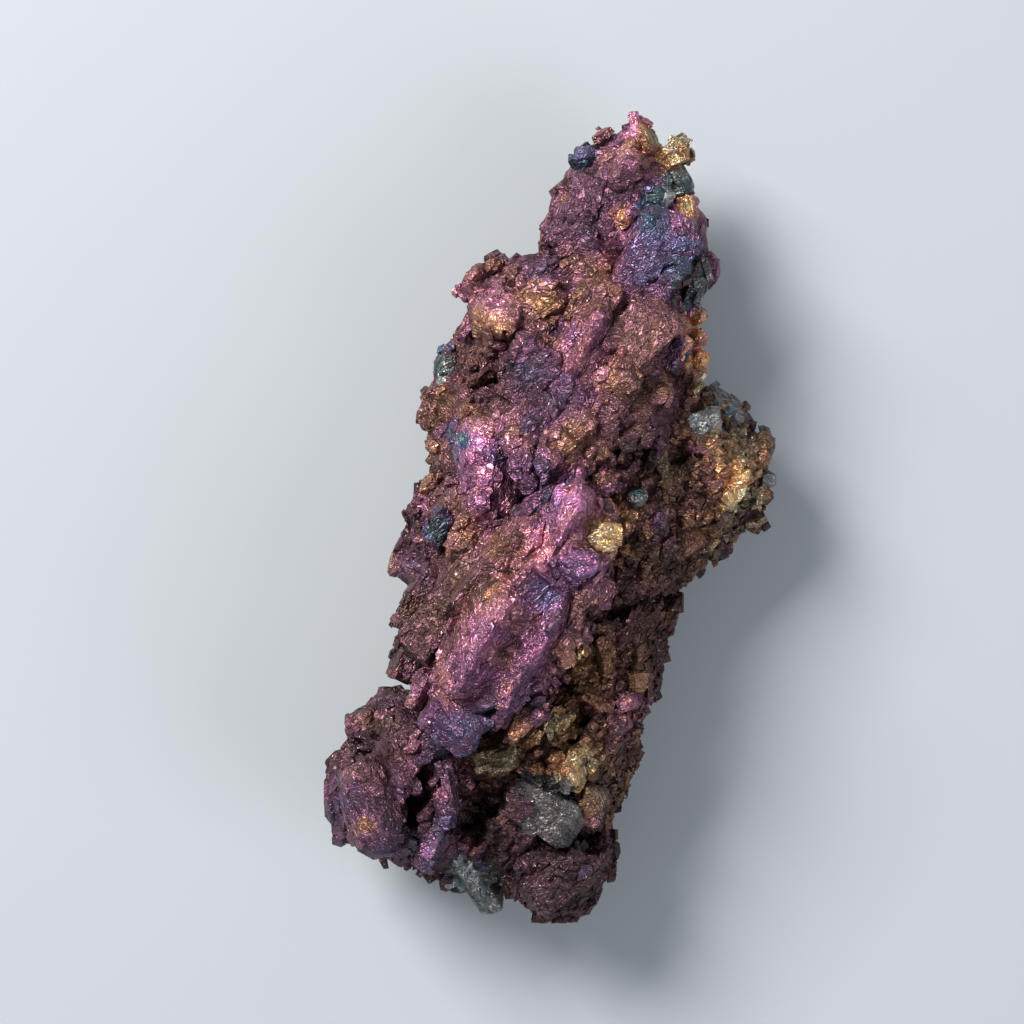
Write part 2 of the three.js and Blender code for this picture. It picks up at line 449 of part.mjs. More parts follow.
const seeds = Array.from({ length: GRAIN_COUNT }, (_, k) => k + 1);
const parts = [
  ...Object.values(MASSES).map((corners) =>
    solidOf(new ConvexGeometry(corners.map((corner) => new THREE.Vector3(...corner))))),
  ...CRYSTALS.map(namedCrystal),
  ...UNDERSIDE.map(underLump),
  ...seeds.map(grain),
];
let body = parts[0];
for (const part of parts.slice(1)) {
  body = body.add(part);
}
for (const [k, row] of PITS.entries()) {
  body = body.subtract(pit(row, k));
}
const sides = [
  [new THREE.Vector3(-DEEP, -DEEP, -DEEP), new THREE.Vector3(DEEP, DEEP, TABLE)],
  [new THREE.Vector3(-DEEP, -DEEP, -DEEP), new THREE.Vector3(-WIDTH / 2, DEEP, DEEP)],
  [new THREE.Vector3(WIDTH / 2, -DEEP, -DEEP), new THREE.Vector3(DEEP, DEEP, DEEP)],
  [new THREE.Vector3(-DEEP, -DEEP, -DEEP), new THREE.Vector3(DEEP, -LENGTH / 2, DEEP)],
  [new THREE.Vector3(-DEEP, LENGTH / 2, -DEEP), new THREE.Vector3(DEEP, DEEP, DEEP)],
];
for (const [low, high] of sides) {
  body = body.subtract(trim(low, high));
}

const whole = body.decompose().reduce((a, b) => (a.volume() > b.volume() ? a : b));
const mesh = whole.getMesh();
const geometry = new THREE.BufferGeometry();
geometry.setAttribute("position", new THREE.BufferAttribute(mesh.vertProperties, 3));
geometry.setIndex(new THREE.BufferAttribute(mesh.triVerts, 1));
geometry.computeVertexNormals();

const tarnishedSulphide = new THREE.MeshStandardMaterial({
  color: 0x4a2a44, roughness: 0.42, metalness: 0.85, flatShading: true,
});
const chalcocite = new THREE.Mesh(geometry, tarnishedSulphide);
chalcocite.name = "chalcocite";

const specimen = new THREE.Group();
specimen.add(chalcocite);
export default specimen;
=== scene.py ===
import math

import bmesh
import bpy
import numpy as np
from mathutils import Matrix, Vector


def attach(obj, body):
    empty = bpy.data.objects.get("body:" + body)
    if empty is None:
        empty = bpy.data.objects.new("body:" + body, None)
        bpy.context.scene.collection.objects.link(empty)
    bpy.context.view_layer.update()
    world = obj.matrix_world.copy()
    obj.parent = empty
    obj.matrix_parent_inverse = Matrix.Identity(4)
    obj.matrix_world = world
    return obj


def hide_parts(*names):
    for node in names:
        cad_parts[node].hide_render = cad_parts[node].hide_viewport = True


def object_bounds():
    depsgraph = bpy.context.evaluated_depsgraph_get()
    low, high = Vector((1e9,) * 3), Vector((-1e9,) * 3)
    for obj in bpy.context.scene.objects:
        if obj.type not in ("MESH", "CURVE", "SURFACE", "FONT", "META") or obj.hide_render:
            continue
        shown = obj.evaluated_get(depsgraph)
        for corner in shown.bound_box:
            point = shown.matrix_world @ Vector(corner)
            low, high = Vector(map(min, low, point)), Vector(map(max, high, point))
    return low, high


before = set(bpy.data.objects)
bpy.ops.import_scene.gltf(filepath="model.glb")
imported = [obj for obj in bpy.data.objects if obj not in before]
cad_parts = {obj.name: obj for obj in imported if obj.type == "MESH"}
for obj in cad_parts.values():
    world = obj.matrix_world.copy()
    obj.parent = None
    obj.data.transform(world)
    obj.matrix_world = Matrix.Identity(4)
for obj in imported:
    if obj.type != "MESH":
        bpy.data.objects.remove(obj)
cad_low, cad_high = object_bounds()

# The body of the specimen: large masses of copper sulphide that grew into one another. Each
# is a convex block with a crust of small crystals, so it is worked out as a ball of directions
# pushed out to the block's flat faces and then roughened by grains of several sizes. A film of
# tarnish colours the whole.
MM = 0.001
RIM = 6.6  # height of the widest line round the specimen, in millimetres as all that follows
MASSES = {
    "ridge": [
        (-7.8, -12.4, 15.0), (-4.6, -8.2, 16.9), (-0.9, -3.4, 17.4), (1.7, -0.2, 16.7), (2.6, 2.4, 14.8),
        (-3.6, -13.0, 13.4), (0.2, -10.6, 14.2), (2.6, -6.4, 15.0), (4.0, -2.0, 14.8),
        (-6.4, -4.2, 13.4), (-3.4, -0.2, 14.2),
        (-9.6, -9.4, RIM + 1), (-9.3, -5.8, RIM), (-8.4, -2.0, RIM), (-3.0, -14.0, RIM),
        (3.4, -8.4, RIM), (5.0, -1.0, RIM),
        (-6.2, -10.6, 1.0), (-2.2, -11.4, 0.4), (2.6, -3.0, 0.4), (-5.6, -2.6, 1.2),
    ],
    "shoulder": [
        (-3.4, 4.6, 13.2), (0.6, 7.4, 14.2), (3.0, 10.4, 13.6), (5.6, 4.6, 12.8), (5.8, 12.0, 12.2),
        (-1.6, 12.0, 12.0), (2.0, 14.8, 11.6), (4.4, 16.6, 10.6),
        (-8.1, 4.6, RIM), (-7.9, 7.0, RIM), (-6.7, 10.2, RIM), (-6.0, 13.6, RIM), (-3.4, 15.6, RIM),
        (-1.4, 16.4, RIM), (2.2, 18.4, RIM), (8.8, 16.4, RIM),
        (-8.0, 1.0, RIM), (9.8, 14.2, RIM), (9.9, 11.2, RIM), (10.2, 8.6, RIM), (8.4, 2.4, RIM),
        (-5.0, 3.0, 1.6), (4.2, 1.0, 0.8), (6.0, 9.4, 1.0), (-2.4, 11.4, 1.4),
    ],
    "spire": [
        (5.05, 25.3, 7.8), (5.0, 22.8, 9.8), (5.8, 19.2, 10.6), (6.2, 15.8, 12.2), (2.8, 18.0, 10.4),
        (7.8, 14.4, 11.0),
        (3.6, 24.0, RIM), (1.2, 22.8, RIM), (1.0, 20.6, RIM), (0.0, 18.8, RIM), (-0.9, 17.4, RIM),
        (6.8, 23.4, RIM), (8.7, 22.6, RIM), (9.0, 20.4, RIM), (9.0, 18.2, RIM), (10.2, 15.6, RIM),
        (3.0, 21.6, 3.0), (7.2, 21.0, 3.0), (1.8, 16.6, 2.0), (8.2, 15.0, 2.4),
    ],
    "lobe": [
        (8.0, 4.8, 10.2), (11.0, 3.6, 9.8), (12.2, 2.0, 9.2), (9.2, -0.4, 9.4), (6.4, 1.0, 10.4),
        (8.6, 8.4, RIM), (12.2, 7.0, RIM - 1), (13.5, 5.0, RIM - 1), (13.9, 2.6, RIM - 1),
        (13.2, 0.4, RIM - 1), (11.4, -0.7, RIM - 1), (10.6, -2.4, RIM - 1), (8.4, -4.0, RIM - 1),
        (8.2, 5.2, 1.6), (11.2, 3.4, 2.2), (10.0, -0.8, 2.2), (5.6, -1.8, 0.8), (5.0, 4.0, 6.0),
    ],
    "rubble": [
        (4.2, -5.6, 10.4), (5.4, -9.2, 10.2), (2.8, -11.2, 10.8), (-0.8, -13.8, 10.6),
        (1.4, -15.8, 11.4), (-2.4, -15.2, 11.0), (-0.6, -18.8, 10.8), (2.4, -19.2, 10.0),
        (7.9, -4.8, RIM), (7.8, -6.6, RIM), (7.1, -9.2, RIM), (6.1, -11.6, RIM), (5.7, -13.4, RIM),
        (4.2, -15.4, RIM), (3.7, -17.8, RIM), (3.6, -20.0, RIM), (-3.0, -19.6, RIM),
        (4.8, -8.0, 1.0), (2.8, -14.0, 0.6), (-1.8, -14.6, 0.8), (0.2, -18.2, 1.2),
    ],
    "foot": [
        (0.6, -21.4, 10.4), (2.2, -21.0, 10.0), (0.2, -23.4, 9.8), (-1.4, -21.4, 9.8),
        (3.8, -20.6, RIM), (3.6, -22.6, RIM), (2.8, -23.5, RIM), (1.6, -24.6, RIM), (0.8, -25.9, RIM),
        (-0.7, -25.5, RIM), (-2.1, -23.7, RIM), (-2.6, -21.4, RIM),
        (1.0, -22.2, 1.8), (-1.0, -21.4, 1.8), (2.2, -20.0, 1.2), (-1.0, -18.6, 1.0),
    ],
    "haunch": [
        (-9.0, -17.0, 12.4), (-11.2, -13.6, 10.8), (-6.4, -16.8, 12.2), (-6.2, -21.0, 10.4),
        (-6.8, -13.4, 13.6), (-11.4, -18.6, 11.4),
        (-13.8, -19.4, RIM), (-14.1, -17.2, RIM), (-13.3, -15.4, RIM), (-13.2, -14.0, RIM),
        (-12.2, -12.6, RIM), (-10.3, -10.9, RIM), (-13.0, -20.3, RIM), (-10.7, -21.4, RIM),
        (-9.2, -21.8, RIM), (-7.4, -22.8, RIM), (-5.2, -23.8, RIM), (-4.0, -21.6, RIM),
        (-10.8, -16.8, 1.8), (-7.0, -19.6, 1.4), (-5.4, -15.6, 0.2), (-8.6, -11.6, 1.6),
    ],
    "saddle": [
        (-5.8, -13.2, 11.4), (-1.8, -14.0, 11.0), (-1.0, -20.6, 9.4), (-4.6, -21.4, 9.2),
        (-7.2, -18.0, 9.8), (-1.2, -23.2, RIM), (-3.0, -23.4, RIM), (-7.4, -22.0, RIM),
        (-5.4, -14.4, 1.0), (-1.2, -15.0, 0.8), (-1.6, -20.4, 1.6), (-5.0, -19.8, 1.4),
    ],
    "cheek": [
        (-4.2, 2.4, 13.2), (-4.4, -2.4, 13.2), (-7.2, 0.2, 10.6), (-8.3, 2.2, RIM), (-9.4, -2.6, RIM),
        (-9.0, -4.8, RIM), (-3.0, 0.0, 13.4), (-6.6, 1.4, 1.8), (-7.0, -3.0, 1.4), (-3.0, 0.0, 1.0),
    ],
    "neck": [
        (4.4, 5.4, 10.6), (8.8, 7.6, 8.6), (8.6, 3.0, 10.0), (7.2, -3.4, 9.4), (4.4, -5.8, 10.6),
        (3.6, -0.4, 12.2), (8.2, -4.2, RIM), (8.2, 9.4, RIM), (3.2, 4.0, 1.0), (8.0, 3.6, 2.0),
        (6.2, -4.8, 1.4), (3.0, -5.4, 1.0),
    ],
    "belly": [
        (-8.4, -12.2, 5.6), (-8.2, -1.0, 6.2), (-6.8, 7.6, 5.4), (-3.4, 13.0, 6.4), (6.0, 16.0, 6.6),
        (8.4, 10.6, 5.8), (7.8, 2.0, 5.2), (6.4, -6.4, 6.0), (3.6, -14.6, 5.4), (-0.4, -20.2, 6.0),
        (-6.8, -20.0, 5.6), (-6.2, -16.4, 2.6), (2.4, -16.4, 2.4), (4.6, 11.4, 2.8), (-3.6, 9.6, 2.4),
        (-3.8, -9.6, -0.9), (1.2, -10.4, -0.9), (2.9, 0.6, -0.9), (1.6, 5.6, -0.9),
        (-1.6, 5.2, -0.9), (-3.6, -0.4, -0.9),
    ],
    "brow": [
        (-2.2, 2.2, 14.4), (1.8, 3.4, 14.2), (4.6, 3.0, 13.0), (5.6, 5.4, 12.6), (0.8, 6.6, 13.8),
        (-3.0, 5.0, 14.2), (3.4, 1.2, 13.2), (-2.4, 2.0, 7.0), (5.4, 1.6, 7.0), (6.0, 6.0, 7.0),
        (-3.4, 6.4, 7.0),
    ],
    "beak": [
        (-5.5, 14.4, 8.4), (-5.1, 15.1, 9.6), (-1.4, 14.0, 11.2), (-2.7, 11.2, 13.4),
        (-5.4, 13.2, 9.8), (-4.4, 11.0, 8.6), (-1.6, 11.2, 9.0),
    ],
}
# Clefts and pits sunk into the skin: x, y, length, width, depth, turn.
PITS = [
    (-4.6, -18.2, 5.0, 3.2, 6.2, 76), (-8.2, -17.8, 5.6, 1.5, 4.4, 75), (-1.6, -12.2, 4.8, 1.5, 4.4, 40),
    (3.0, -6.3, 3.4, 1.7, 5.0, 60), (1.0, -9.6, 5.0, 1.6, 6.0, 60), (2.0, -12.4, 2.6, 1.5, 3.0, 40),
    (-0.2, -14.6, 2.8, 1.2, 2.6, 25), (1.6, -13.6, 2.0, 1.3, 2.6, 50), (2.3, -20.3, 2.2, 1.6, 3.0, 20),
    (4.6, -8.9, 1.9, 1.4, 2.6, 70),
    (5.7, -3.0, 2.8, 1.2, 2.6, 50), (8.4, 4.0, 2.2, 1.6, 2.4, 60), (5.0, 3.6, 3.4, 1.5, 2.4, 20),
    (3.2, 2.8, 2.0, 1.3, 2.2, 30), (7.1, 10.9, 2.4, 1.0, 2.4, 55), (-1.1, 3.0, 3.6, 0.6, 2.6, 99),
    (0.4, 1.9, 2.4, 0.6, 2.0, 30), (-4.0, 8.4, 2.6, 1.7, 3.2, 40), (-3.3, 10.2, 2.6, 1.1, 2.6, 60),
    (-5.2, 9.4, 1.9, 1.2, 2.6, 70), (6.5, 15.0, 2.2, 0.7, 1.6, 40), (-11.7, -14.4, 2.0, 1.2, 2.4, 30),
]
# Tarnish painted over the skin: x, y, radius, film, sheen. Film runs from gold at 0.1 through
# orange, rose, purple and blue to teal at 0.9 and silver grey at 1; sheen is how bright it is,
# partly the film's own lustre and partly painted highlight, and above 1 it brightens the film's
# colour as a painted highlight.
PATCHES = [
    (4.7, 24.3, 1.0, 0.43, 1.4), (5.2, 22.9, 0.7, 0.40, 1.4), (2.3, 22.7, 0.9, 0.80, 0.6),
    (6.6, 24.1, 0.9, 0.02, 0.4), (3.2, 20.6, 1.8, 0.50, 0.35), (7.8, 22.8, 1.3, 0.10, 0.9),
    (8.1, 21.0, 1.0, 0.96, 0.4), (8.4, 19.4, 0.8, 0.15, 1.7), (6.6, 19.9, 1.1, 0.88, 0.6),
    (1.7, 17.8, 2.2, 0.56, 0.35), (6.2, 16.2, 2.2, 0.66, 0.75), (8.2, 15.5, 0.8, 0.84, 0.5),
    (8.9, 14.2, 1.3, 0.98, 0.3), (4.6, 18.7, 0.8, 0.15, 1.2), (2.9, 13.8, 1.5, 0.25, 0.5),
    (1.0, 15.4, 1.4, 0.38, 0.6), (-0.6, 13.2, 1.2, 0.27, 0.5), (-0.4, 15.0, 1.2, 0.56, 0.4),
    (2.2, 10.6, 2.0, 0.50, 0.8), (5.6, 11.2, 1.9, 0.34, 0.35), (4.2, 8.6, 1.2, 0.28, 0.8),
    (9.3, 12.3, 1.2, 0.16, 1.4), (9.2, 10.4, 1.2, 0.15, 1.5), (-5.2, 15.4, 1.0, 0.34, 0.5),
    (-4.4, 13.9, 1.4, 0.36, 0.8), (-3.2, 12.9, 1.5, 0.33, 1.0), (-3.2, 12.6, 0.7, 0.37, 1.6),
    (-0.4, 6.4, 1.6, 0.60, 0.4), (5.2, 11.4, 1.4, 0.39, 0.4), (5.3, 7.9, 1.5, 0.30, 0.12),
    (0.4, 3.7, 1.1, 0.42, 0.7), (-0.6, 2.9, 0.9, 0.72, 0.6), (-1.2, 9.0, 1.7, 0.61, 0.35),
    (0.9, 8.6, 1.3, 0.52, 0.7), (1.4, 5.2, 1.0, 0.29, 0.5), (-5.7, 11.0, 1.6, 0.34, 0.3),
    (6.2, 18.2, 1.3, 0.78, 0.6), (-7.6, 6.4, 1.6, 0.28, 0.3), (-7.0, 9.6, 0.8, 0.98, 0.6),
    (-3.8, 2.8, 2.2, 0.49, 1.0), (-4.2, 4.8, 1.3, 0.46, 1.3), (-3.8, 8.0, 1.5, 0.36, 0.1),
    (-6.8, 3.0, 0.9, 0.34, 0.2), (-2.0, 2.6, 1.6, 0.58, 0.6), (-5.7, 4.8, 0.7, 0.88, 0.7),
    (-6.2, 5.6, 0.6, 0.90, 0.5), (-0.7, 2.4, 1.3, 0.60, 0.6), (0.8, 4.6, 1.3, 0.28, 0.45),
    (11.1, 1.7, 1.6, 0.11, 1.2), (11.9, 3.0, 0.7, 0.12, 1.2), (13.4, 4.4, 1.5, 0.0, 0.3),
    (9.4, 1.6, 1.4, 0.36, 0.2), (11.4, -0.8, 1.4, 0.02, 0.2), (8.2, 2.0, 1.2, 0.30, 0.12),
    (9.6, 6.0, 0.9, 1.0, 0.8), (3.3, -1.2, 1.2, 0.08, 1.2), (-8.3, -3.1, 1.5, 0.62, 0.35),
    (-10.0, -2.8, 0.7, 0.20, 0.8), (-6.9, -0.7, 1.0, 0.86, 0.45), (-5.2, -1.8, 1.6, 0.34, 0.8),
    (1.1, 1.5, 1.2, 0.48, 1.6), (-0.8, -1.7, 1.2, 0.42, 1.6), (1.3, -2.9, 1.3, 0.68, 1.3),
    (-0.2, -4.4, 1.5, 0.58, 0.9), (-3.2, -5.0, 1.0, 0.37, 1.0), (-3.4, -5.6, 0.9, 0.40, 1.5),
    (-4.3, -7.8, 1.7, 0.47, 0.95), (-1.2, -8.0, 1.7, 0.51, 0.8), (-5.2, -3.4, 2.0, 0.34, 0.2),
    (-7.9, -6.0, 2.6, 0.36, 0.15), (1.8, -6.2, 1.4, 0.38, 0.3), (-2.9, -8.2, 0.7, 0.34, 0.15),
    (-4.8, -10.0, 1.6, 0.50, 0.5), (-6.0, -12.6, 1.6, 0.71, 0.8), (-6.2, -11.0, 0.9, 0.46, 0.7),
    (-10.4, -17.2, 1.8, 0.60, 0.25), (-11.5, -18.9, 0.8, 0.22, 0.5),
    (-10.9, -15.6, 1.3, 0.40, 0.25), (-5.3, -22.4, 1.2, 1.0, 0.9), (-7.3, -19.4, 1.4, 0.62, 0.5),
    (-3.6, -22.6, 1.0, 0.9, 0.2), (-9.4, -12.8, 1.4, 0.42, 0.2), (-3.4, -14.8, 1.3, 0.02, 0.6),
    (1.2, -15.6, 1.7, 0.13, 1.0), (-0.8, -13.4, 1.1, 0.17, 0.9), (0.6, -12.6, 0.9, 0.12, 1.0),
    (2.0, -9.0, 1.0, 0.09, 1.0), (3.4, -8.2, 1.5, 0.22, 0.5), (-0.4, -18.2, 2.2, 0.99, 0.25),
    (3.6, -11.6, 1.2, 0.30, 0.5), (-13.2, -18.2, 1.5, 0.60, 0.5), (4.8, -11.4, 0.7, 0.40, 0.7),
    (3.2, -16.8, 1.5, 0.0, 0.15), (0.6, -22.4, 2.2, 0.60, 0.08), (6.2, -7.4, 1.4, 0.30, 0.12),
    (-2.6, -17.6, 1.4, 0.40, 0.1), (4.4, -14.4, 1.3, 0.34, 0.15),
]
RESTING = 0.12  # all but the belly stays this far above the table
LOWEST, HIGHEST = np.array(cad_low) / MM, np.array(cad_high) / MM
PAINTED_UNDER_SHADE = 0.16  # painted shade added to the whole skin, so that it shows blacker than the flakes on it
SILVER = 0.93  # a film from here on is silver grey, ends sharply and tints nothing round it
BOX_CELL, PLATE_CELL, SCALE_CELL = 2.6, 1.5, 0.7  # sizes of the crust's boxes, plates and scales
PIT_LIFT = 0.4  # a pit's middle above the skin that it is sunk into
DEEPEST_SLIDE = 0.8  # share of the way to its middle that a form can be eaten away
TINY = 1e-6
GRITTY = (0.9, 0.6, 0.2)  # heights of the boxes, plates and scales where the crust is coarse
MASS_RELIEF = (0.55, 0.5, 0.16)
# Greatest sheen; a sheen above 1 is a painted highlight that brightens the film's colour.
BRIGHTEST = 1.7


def hull_faces(corners):
    """Flat faces of the convex hull of the corners, as unit normals and their distances from
    the middle, which lies inside: a point is inside where normal . point < distance for all."""
    work = bmesh.new()
    for corner in corners:
        work.verts.new(corner)
    bmesh.ops.convex_hull(work, input=work.verts)
    work.normal_update()
    normals = np.array([face.normal for face in work.faces])
    distances = np.array([face.normal.dot(face.verts[0].co) for face in work.faces])
    work.free()
    whole = np.abs(distances) > 1e-5
    outwards = np.sign(distances[whole])
    return normals[whole] * outwards[:, None], distances[whole] * outwards


def ball_grid(cells):
    """A closed ball of directions: the lattice points on a cube with so many cells along each
    edge, each coordinate u in -1..1 spread to tan(u * 45 degrees), pushed to unit length."""
    steps = np.arange(cells + 1)
    points, quads = [], []
    for axis in range(3):
        for side in (0, cells):
            across, up = np.meshgrid(steps, steps, indexing="ij")
            spots = np.zeros((cells + 1, cells + 1, 3), int)
            spots[..., axis] = side
            spots[..., (axis + 1) % 3] = across
            spots[..., (axis + 2) % 3] = up
            index = np.arange((cells + 1) ** 2).reshape(cells + 1, cells + 1)
            index = index + len(points) * (cells + 1) ** 2
            corners = [index[:-1, :-1], index[1:, :-1], index[1:, 1:], index[:-1, 1:]]
            quad = np.stack([corner.ravel() for corner in corners], 1)
            quads.append(quad if side else quad[:, ::-1])
            points.append(spots.reshape(-1, 3))
    points, quads = np.concatenate(points), np.concatenate(quads)
    code = points @ np.array([(cells + 1) ** 2, cells + 1, 1])
    _, first, merged = np.unique(code, return_index=True, return_inverse=True)
    ways = np.tan((2 * points[first] / cells - 1) * math.pi / 4)
    return ways / np.linalg.norm(ways, axis=1, keepdims=True), merged.ravel()[quads]


dice = np.random.default_rng(7)
TABLE_SIZE = 1024
cell_offsets = dice.uniform(-0.3, 0.3, (TABLE_SIZE, 3)).astype(np.float32)
cell_axes = np.linalg.qr(dice.normal(size=(TABLE_SIZE, 3, 3)))[0].astype(np.float32)
cell_axes *= dice.uniform(0.75, 1.35, (TABLE_SIZE, 3, 1)).astype(np.float32)
cell_reach = dice.uniform(0.45, 0.85, TABLE_SIZE).astype(np.float32)
cell_slopes = dice.normal(size=(TABLE_SIZE, 3)).astype(np.float32) * 0.6
cell_levels = dice.uniform(-0.22, 0.22, TABLE_SIZE).astype(np.float32)


def cells_round(points, cell, seed):
    """For each of the eight lattice cells nearest to a point: the cell's place in the tables of
    random numbers, and the way from the cell's jittered middle to the point, in cell lengths."""
    scaled = (points / cell).astype(np.float32)
    lower = np.floor(scaled - 0.5)
    for corner in np.ndindex(2, 2, 2):
        home = lower + np.array(corner, np.float32)
        key = home.astype(np.int64) @ np.array([73856093, 19349663, 83492791])
        key = ((key ^ (key >> 11)) + 7919 * seed) % TABLE_SIZE
        yield key, scaled - home - 0.5 - cell_offsets[key]


def box_grain(points, cell, seed):
    """Height of a crust of turned boxes: the greatest, over the near cells, of reach - the
    largest of the point's three distances along that cell's own turned and weighted axes."""
    best = np.full(len(points), -9.0, np.float32)
    for key, apart in cells_round(points, cell, seed):
        along = np.abs(np.einsum("nij,nj->ni", cell_axes[key], apart)).max(1)
        best = np.maximum(best, cell_reach[key] - along)
    return best - best.mean()


def flake_grain(points, cell, seed):
    """Height of a skin of tilted flakes: a point takes its nearest cell's level + slope . way
    from the cell's middle, and near a border half of the step to the next cell's height. With
    it comes the crease: 1 on a border, falling to 0 at a fifth of a cell from it."""
    near = np.full((2, len(points)), 9.0, np.float32)
    height = np.zeros((2, len(points)), np.float32)
    for key, apart in cells_round(points, cell, seed):
        away = np.sqrt((apart ** 2).sum(1))
        rise = cell_levels[key] + (cell_slopes[key] * apart).sum(1)
        first, second = away < near[0], away < near[1]
        near[1] = np.where(first, near[0], np.where(second, away, near[1]))
        height[1] = np.where(first, height[0], np.where(second, rise, height[1]))
        near[0] = np.where(first, away, near[0])
        height[0] = np.where(first, rise, height[0])
    crease = np.clip(1 - (near[1] - near[0]) / 0.2, 0, 1)
    return height[0] + 0.5 * crease * (height[1] - height[0]), crease


def wave_noise(points, length, seed):
    """Soft noise of about -1 to 1: the sum of ten plane waves of about that length in random
    directions with random phases, over the root of five."""
    waves = np.random.default_rng(seed)
    ways = waves.normal(size=(10, 3))
    ways *= 2 * math.pi / length / np.linalg.norm(ways, axis=1, keepdims=True)
    ways *= waves.uniform(0.6, 1.5, (10, 1))
    return np.sin(points @ ways.T + waves.uniform(0, 2 * math.pi, 10)).sum(1) / math.sqrt(5)


def mass_middle(corners):
    """Middle of a mass: the mean of its corners."""
    return np.mean(corners, axis=0)


mass_faces = {}
for mass, corners in MASSES.items():
    normals, distances = hull_faces(np.array(corners) - mass_middle(corners))
    mass_faces[mass] = (normals, distances + normals @ mass_middle(corners))


def skin_height(x, y):
    """Height of the masses' skin over a point: the greatest, over the masses that the upright
    line through it meets, of the lowest of their upward faces; at least the rim's height."""
    height = RIM
    for normals, distances in mass_faces.values():
        reach = distances - normals[:, 0] * x - normals[:, 1] * y
        rising, falling = normals[:, 2] > TINY, normals[:, 2] < -TINY
        top = np.min(reach[rising] / normals[rising, 2])
        bottom = np.max(reach[falling] / normals[falling, 2])
        if top > bottom:
            height = max(height, top)
    return height


pit_middles = np.array([(x, y, skin_height(x, y) + PIT_LIFT) for x, y, *_ in PITS])
forms = []  # every hull, for the flakes: its faces, where it stands, and how it is turned back
ledges = []  # and the way each grew, with how gritty it is
shells = {}  # the finished skins, by the piece that they belong to
STREAK = np.array([[0.69, 0.72, 0], [-0.72, 0.69, 0], [0, 0, 1]])  # the way the masses grew
DRAWN_OUT = (0.6, 1, 1)  # the crust is longer along the growth
SWELL, SWELL_LENGTH = 0.15, 7.0  # slow unevenness of a mass
STRAY, STRAY_LENGTH = 0.3, 1.4  # how far the brink of a pit wanders
FILM_DRIFT, FILM_LENGTH = 0.045, 3.5  # slow change of the film over a form
FLECK, FLECK_LENGTH = 0.03, 1.2  # and a quicker one
SHEEN_DRIFT, SHEEN_LENGTH = 0.10, 2.2
PATCH_WANDER, WANDER_LENGTH = 0.16, 1.3  # how far a patch's border wanders, in its radii
TINT_SIDE = (0.6, -0.6, 0.0)  # faces that look this way, away from the key light, move further along the film ramp
BLEND = 0.7  # how much the patches near by tint a form between them
INSET, INSET_STEP, INSET_STEPS = 0.03, 0.002, 41  # each form ends at its own depth inside the box
INSET_WAVE, INSET_LENGTH = 0.04, 1.1


def crust(points, axes, shift, relief, uneven):
    """Height and painted shade of the crust: relief gives the heights of boxes, plates and scales,
    which are drawn out along the form's axes. Hollows, and the creases between flakes, get painted
    shade."""
    drawn = points @ np.array(axes).T * DRAWN_OUT + shift
    boxes, plates, scales = relief
    large, crease = flake_grain(drawn, PLATE_CELL, 3)
    small, small_crease = flake_grain(drawn, SCALE_CELL, 5)
    bumps = box_grain(drawn, BOX_CELL, 4)
    move = boxes * bumps + plates * large + scales * small
    move = move + uneven * wave_noise(points, SWELL_LENGTH, 2)
    painted_shade = np.clip(-2.2 * boxes * bumps - 1.2 * plates * large, 0, 1)
    return move, np.maximum(painted_shade, 0.45 * crease * min(1, 2.5 * plates) + 0.2 * small_crease)


def sink_pits(points, middle, painted_shade):
    """A point inside a pit, which is a turned ellipsoid with a ragged brink, slides on towards
    the form's middle to the pit's far wall: the greater root of |spot + slide * way| = 1 in the
    pit's own box, where it is a unit ball. The deeper in the pit it was, the more painted shade it gets."""
    inward = (middle - points) / np.linalg.norm(middle - points, axis=1, keepdims=True)
    ragged = np.stack([wave_noise(points, STRAY_LENGTH, 20 + k) for k in range(3)], 1) * STRAY
    for (_, _, length, width, depth, turn), at in zip(PITS, pit_middles):
        c, s = math.cos(math.radians(turn)), math.sin(math.radians(turn))
        shrink = np.array([[c, s, 0], [-s, c, 0], [0, 0, 1]])
        shrink = shrink / np.array([[length / 2], [width / 2], [depth]])
        spot, way = (points + ragged - at) @ shrink.T, inward @ shrink.T
        a, b, rest = (way ** 2).sum(1), (spot * way).sum(1), (spot ** 2).sum(1) - 1
        slide = np.where(rest < 0, (-b + np.sqrt(np.maximum(b * b - a * rest, 0))) / a, 0)
        slide = np.minimum(slide, DEEPEST_SLIDE * np.linalg.norm(middle - points, axis=1))
        points = points + inward * slide[:, None]
        # Painted shade: the deeper in the pit, the blacker.
        painted_shade = np.maximum(painted_shade, np.clip(1.2 - 1.5 * (rest + 1), 0, 1))
    return points, painted_shade


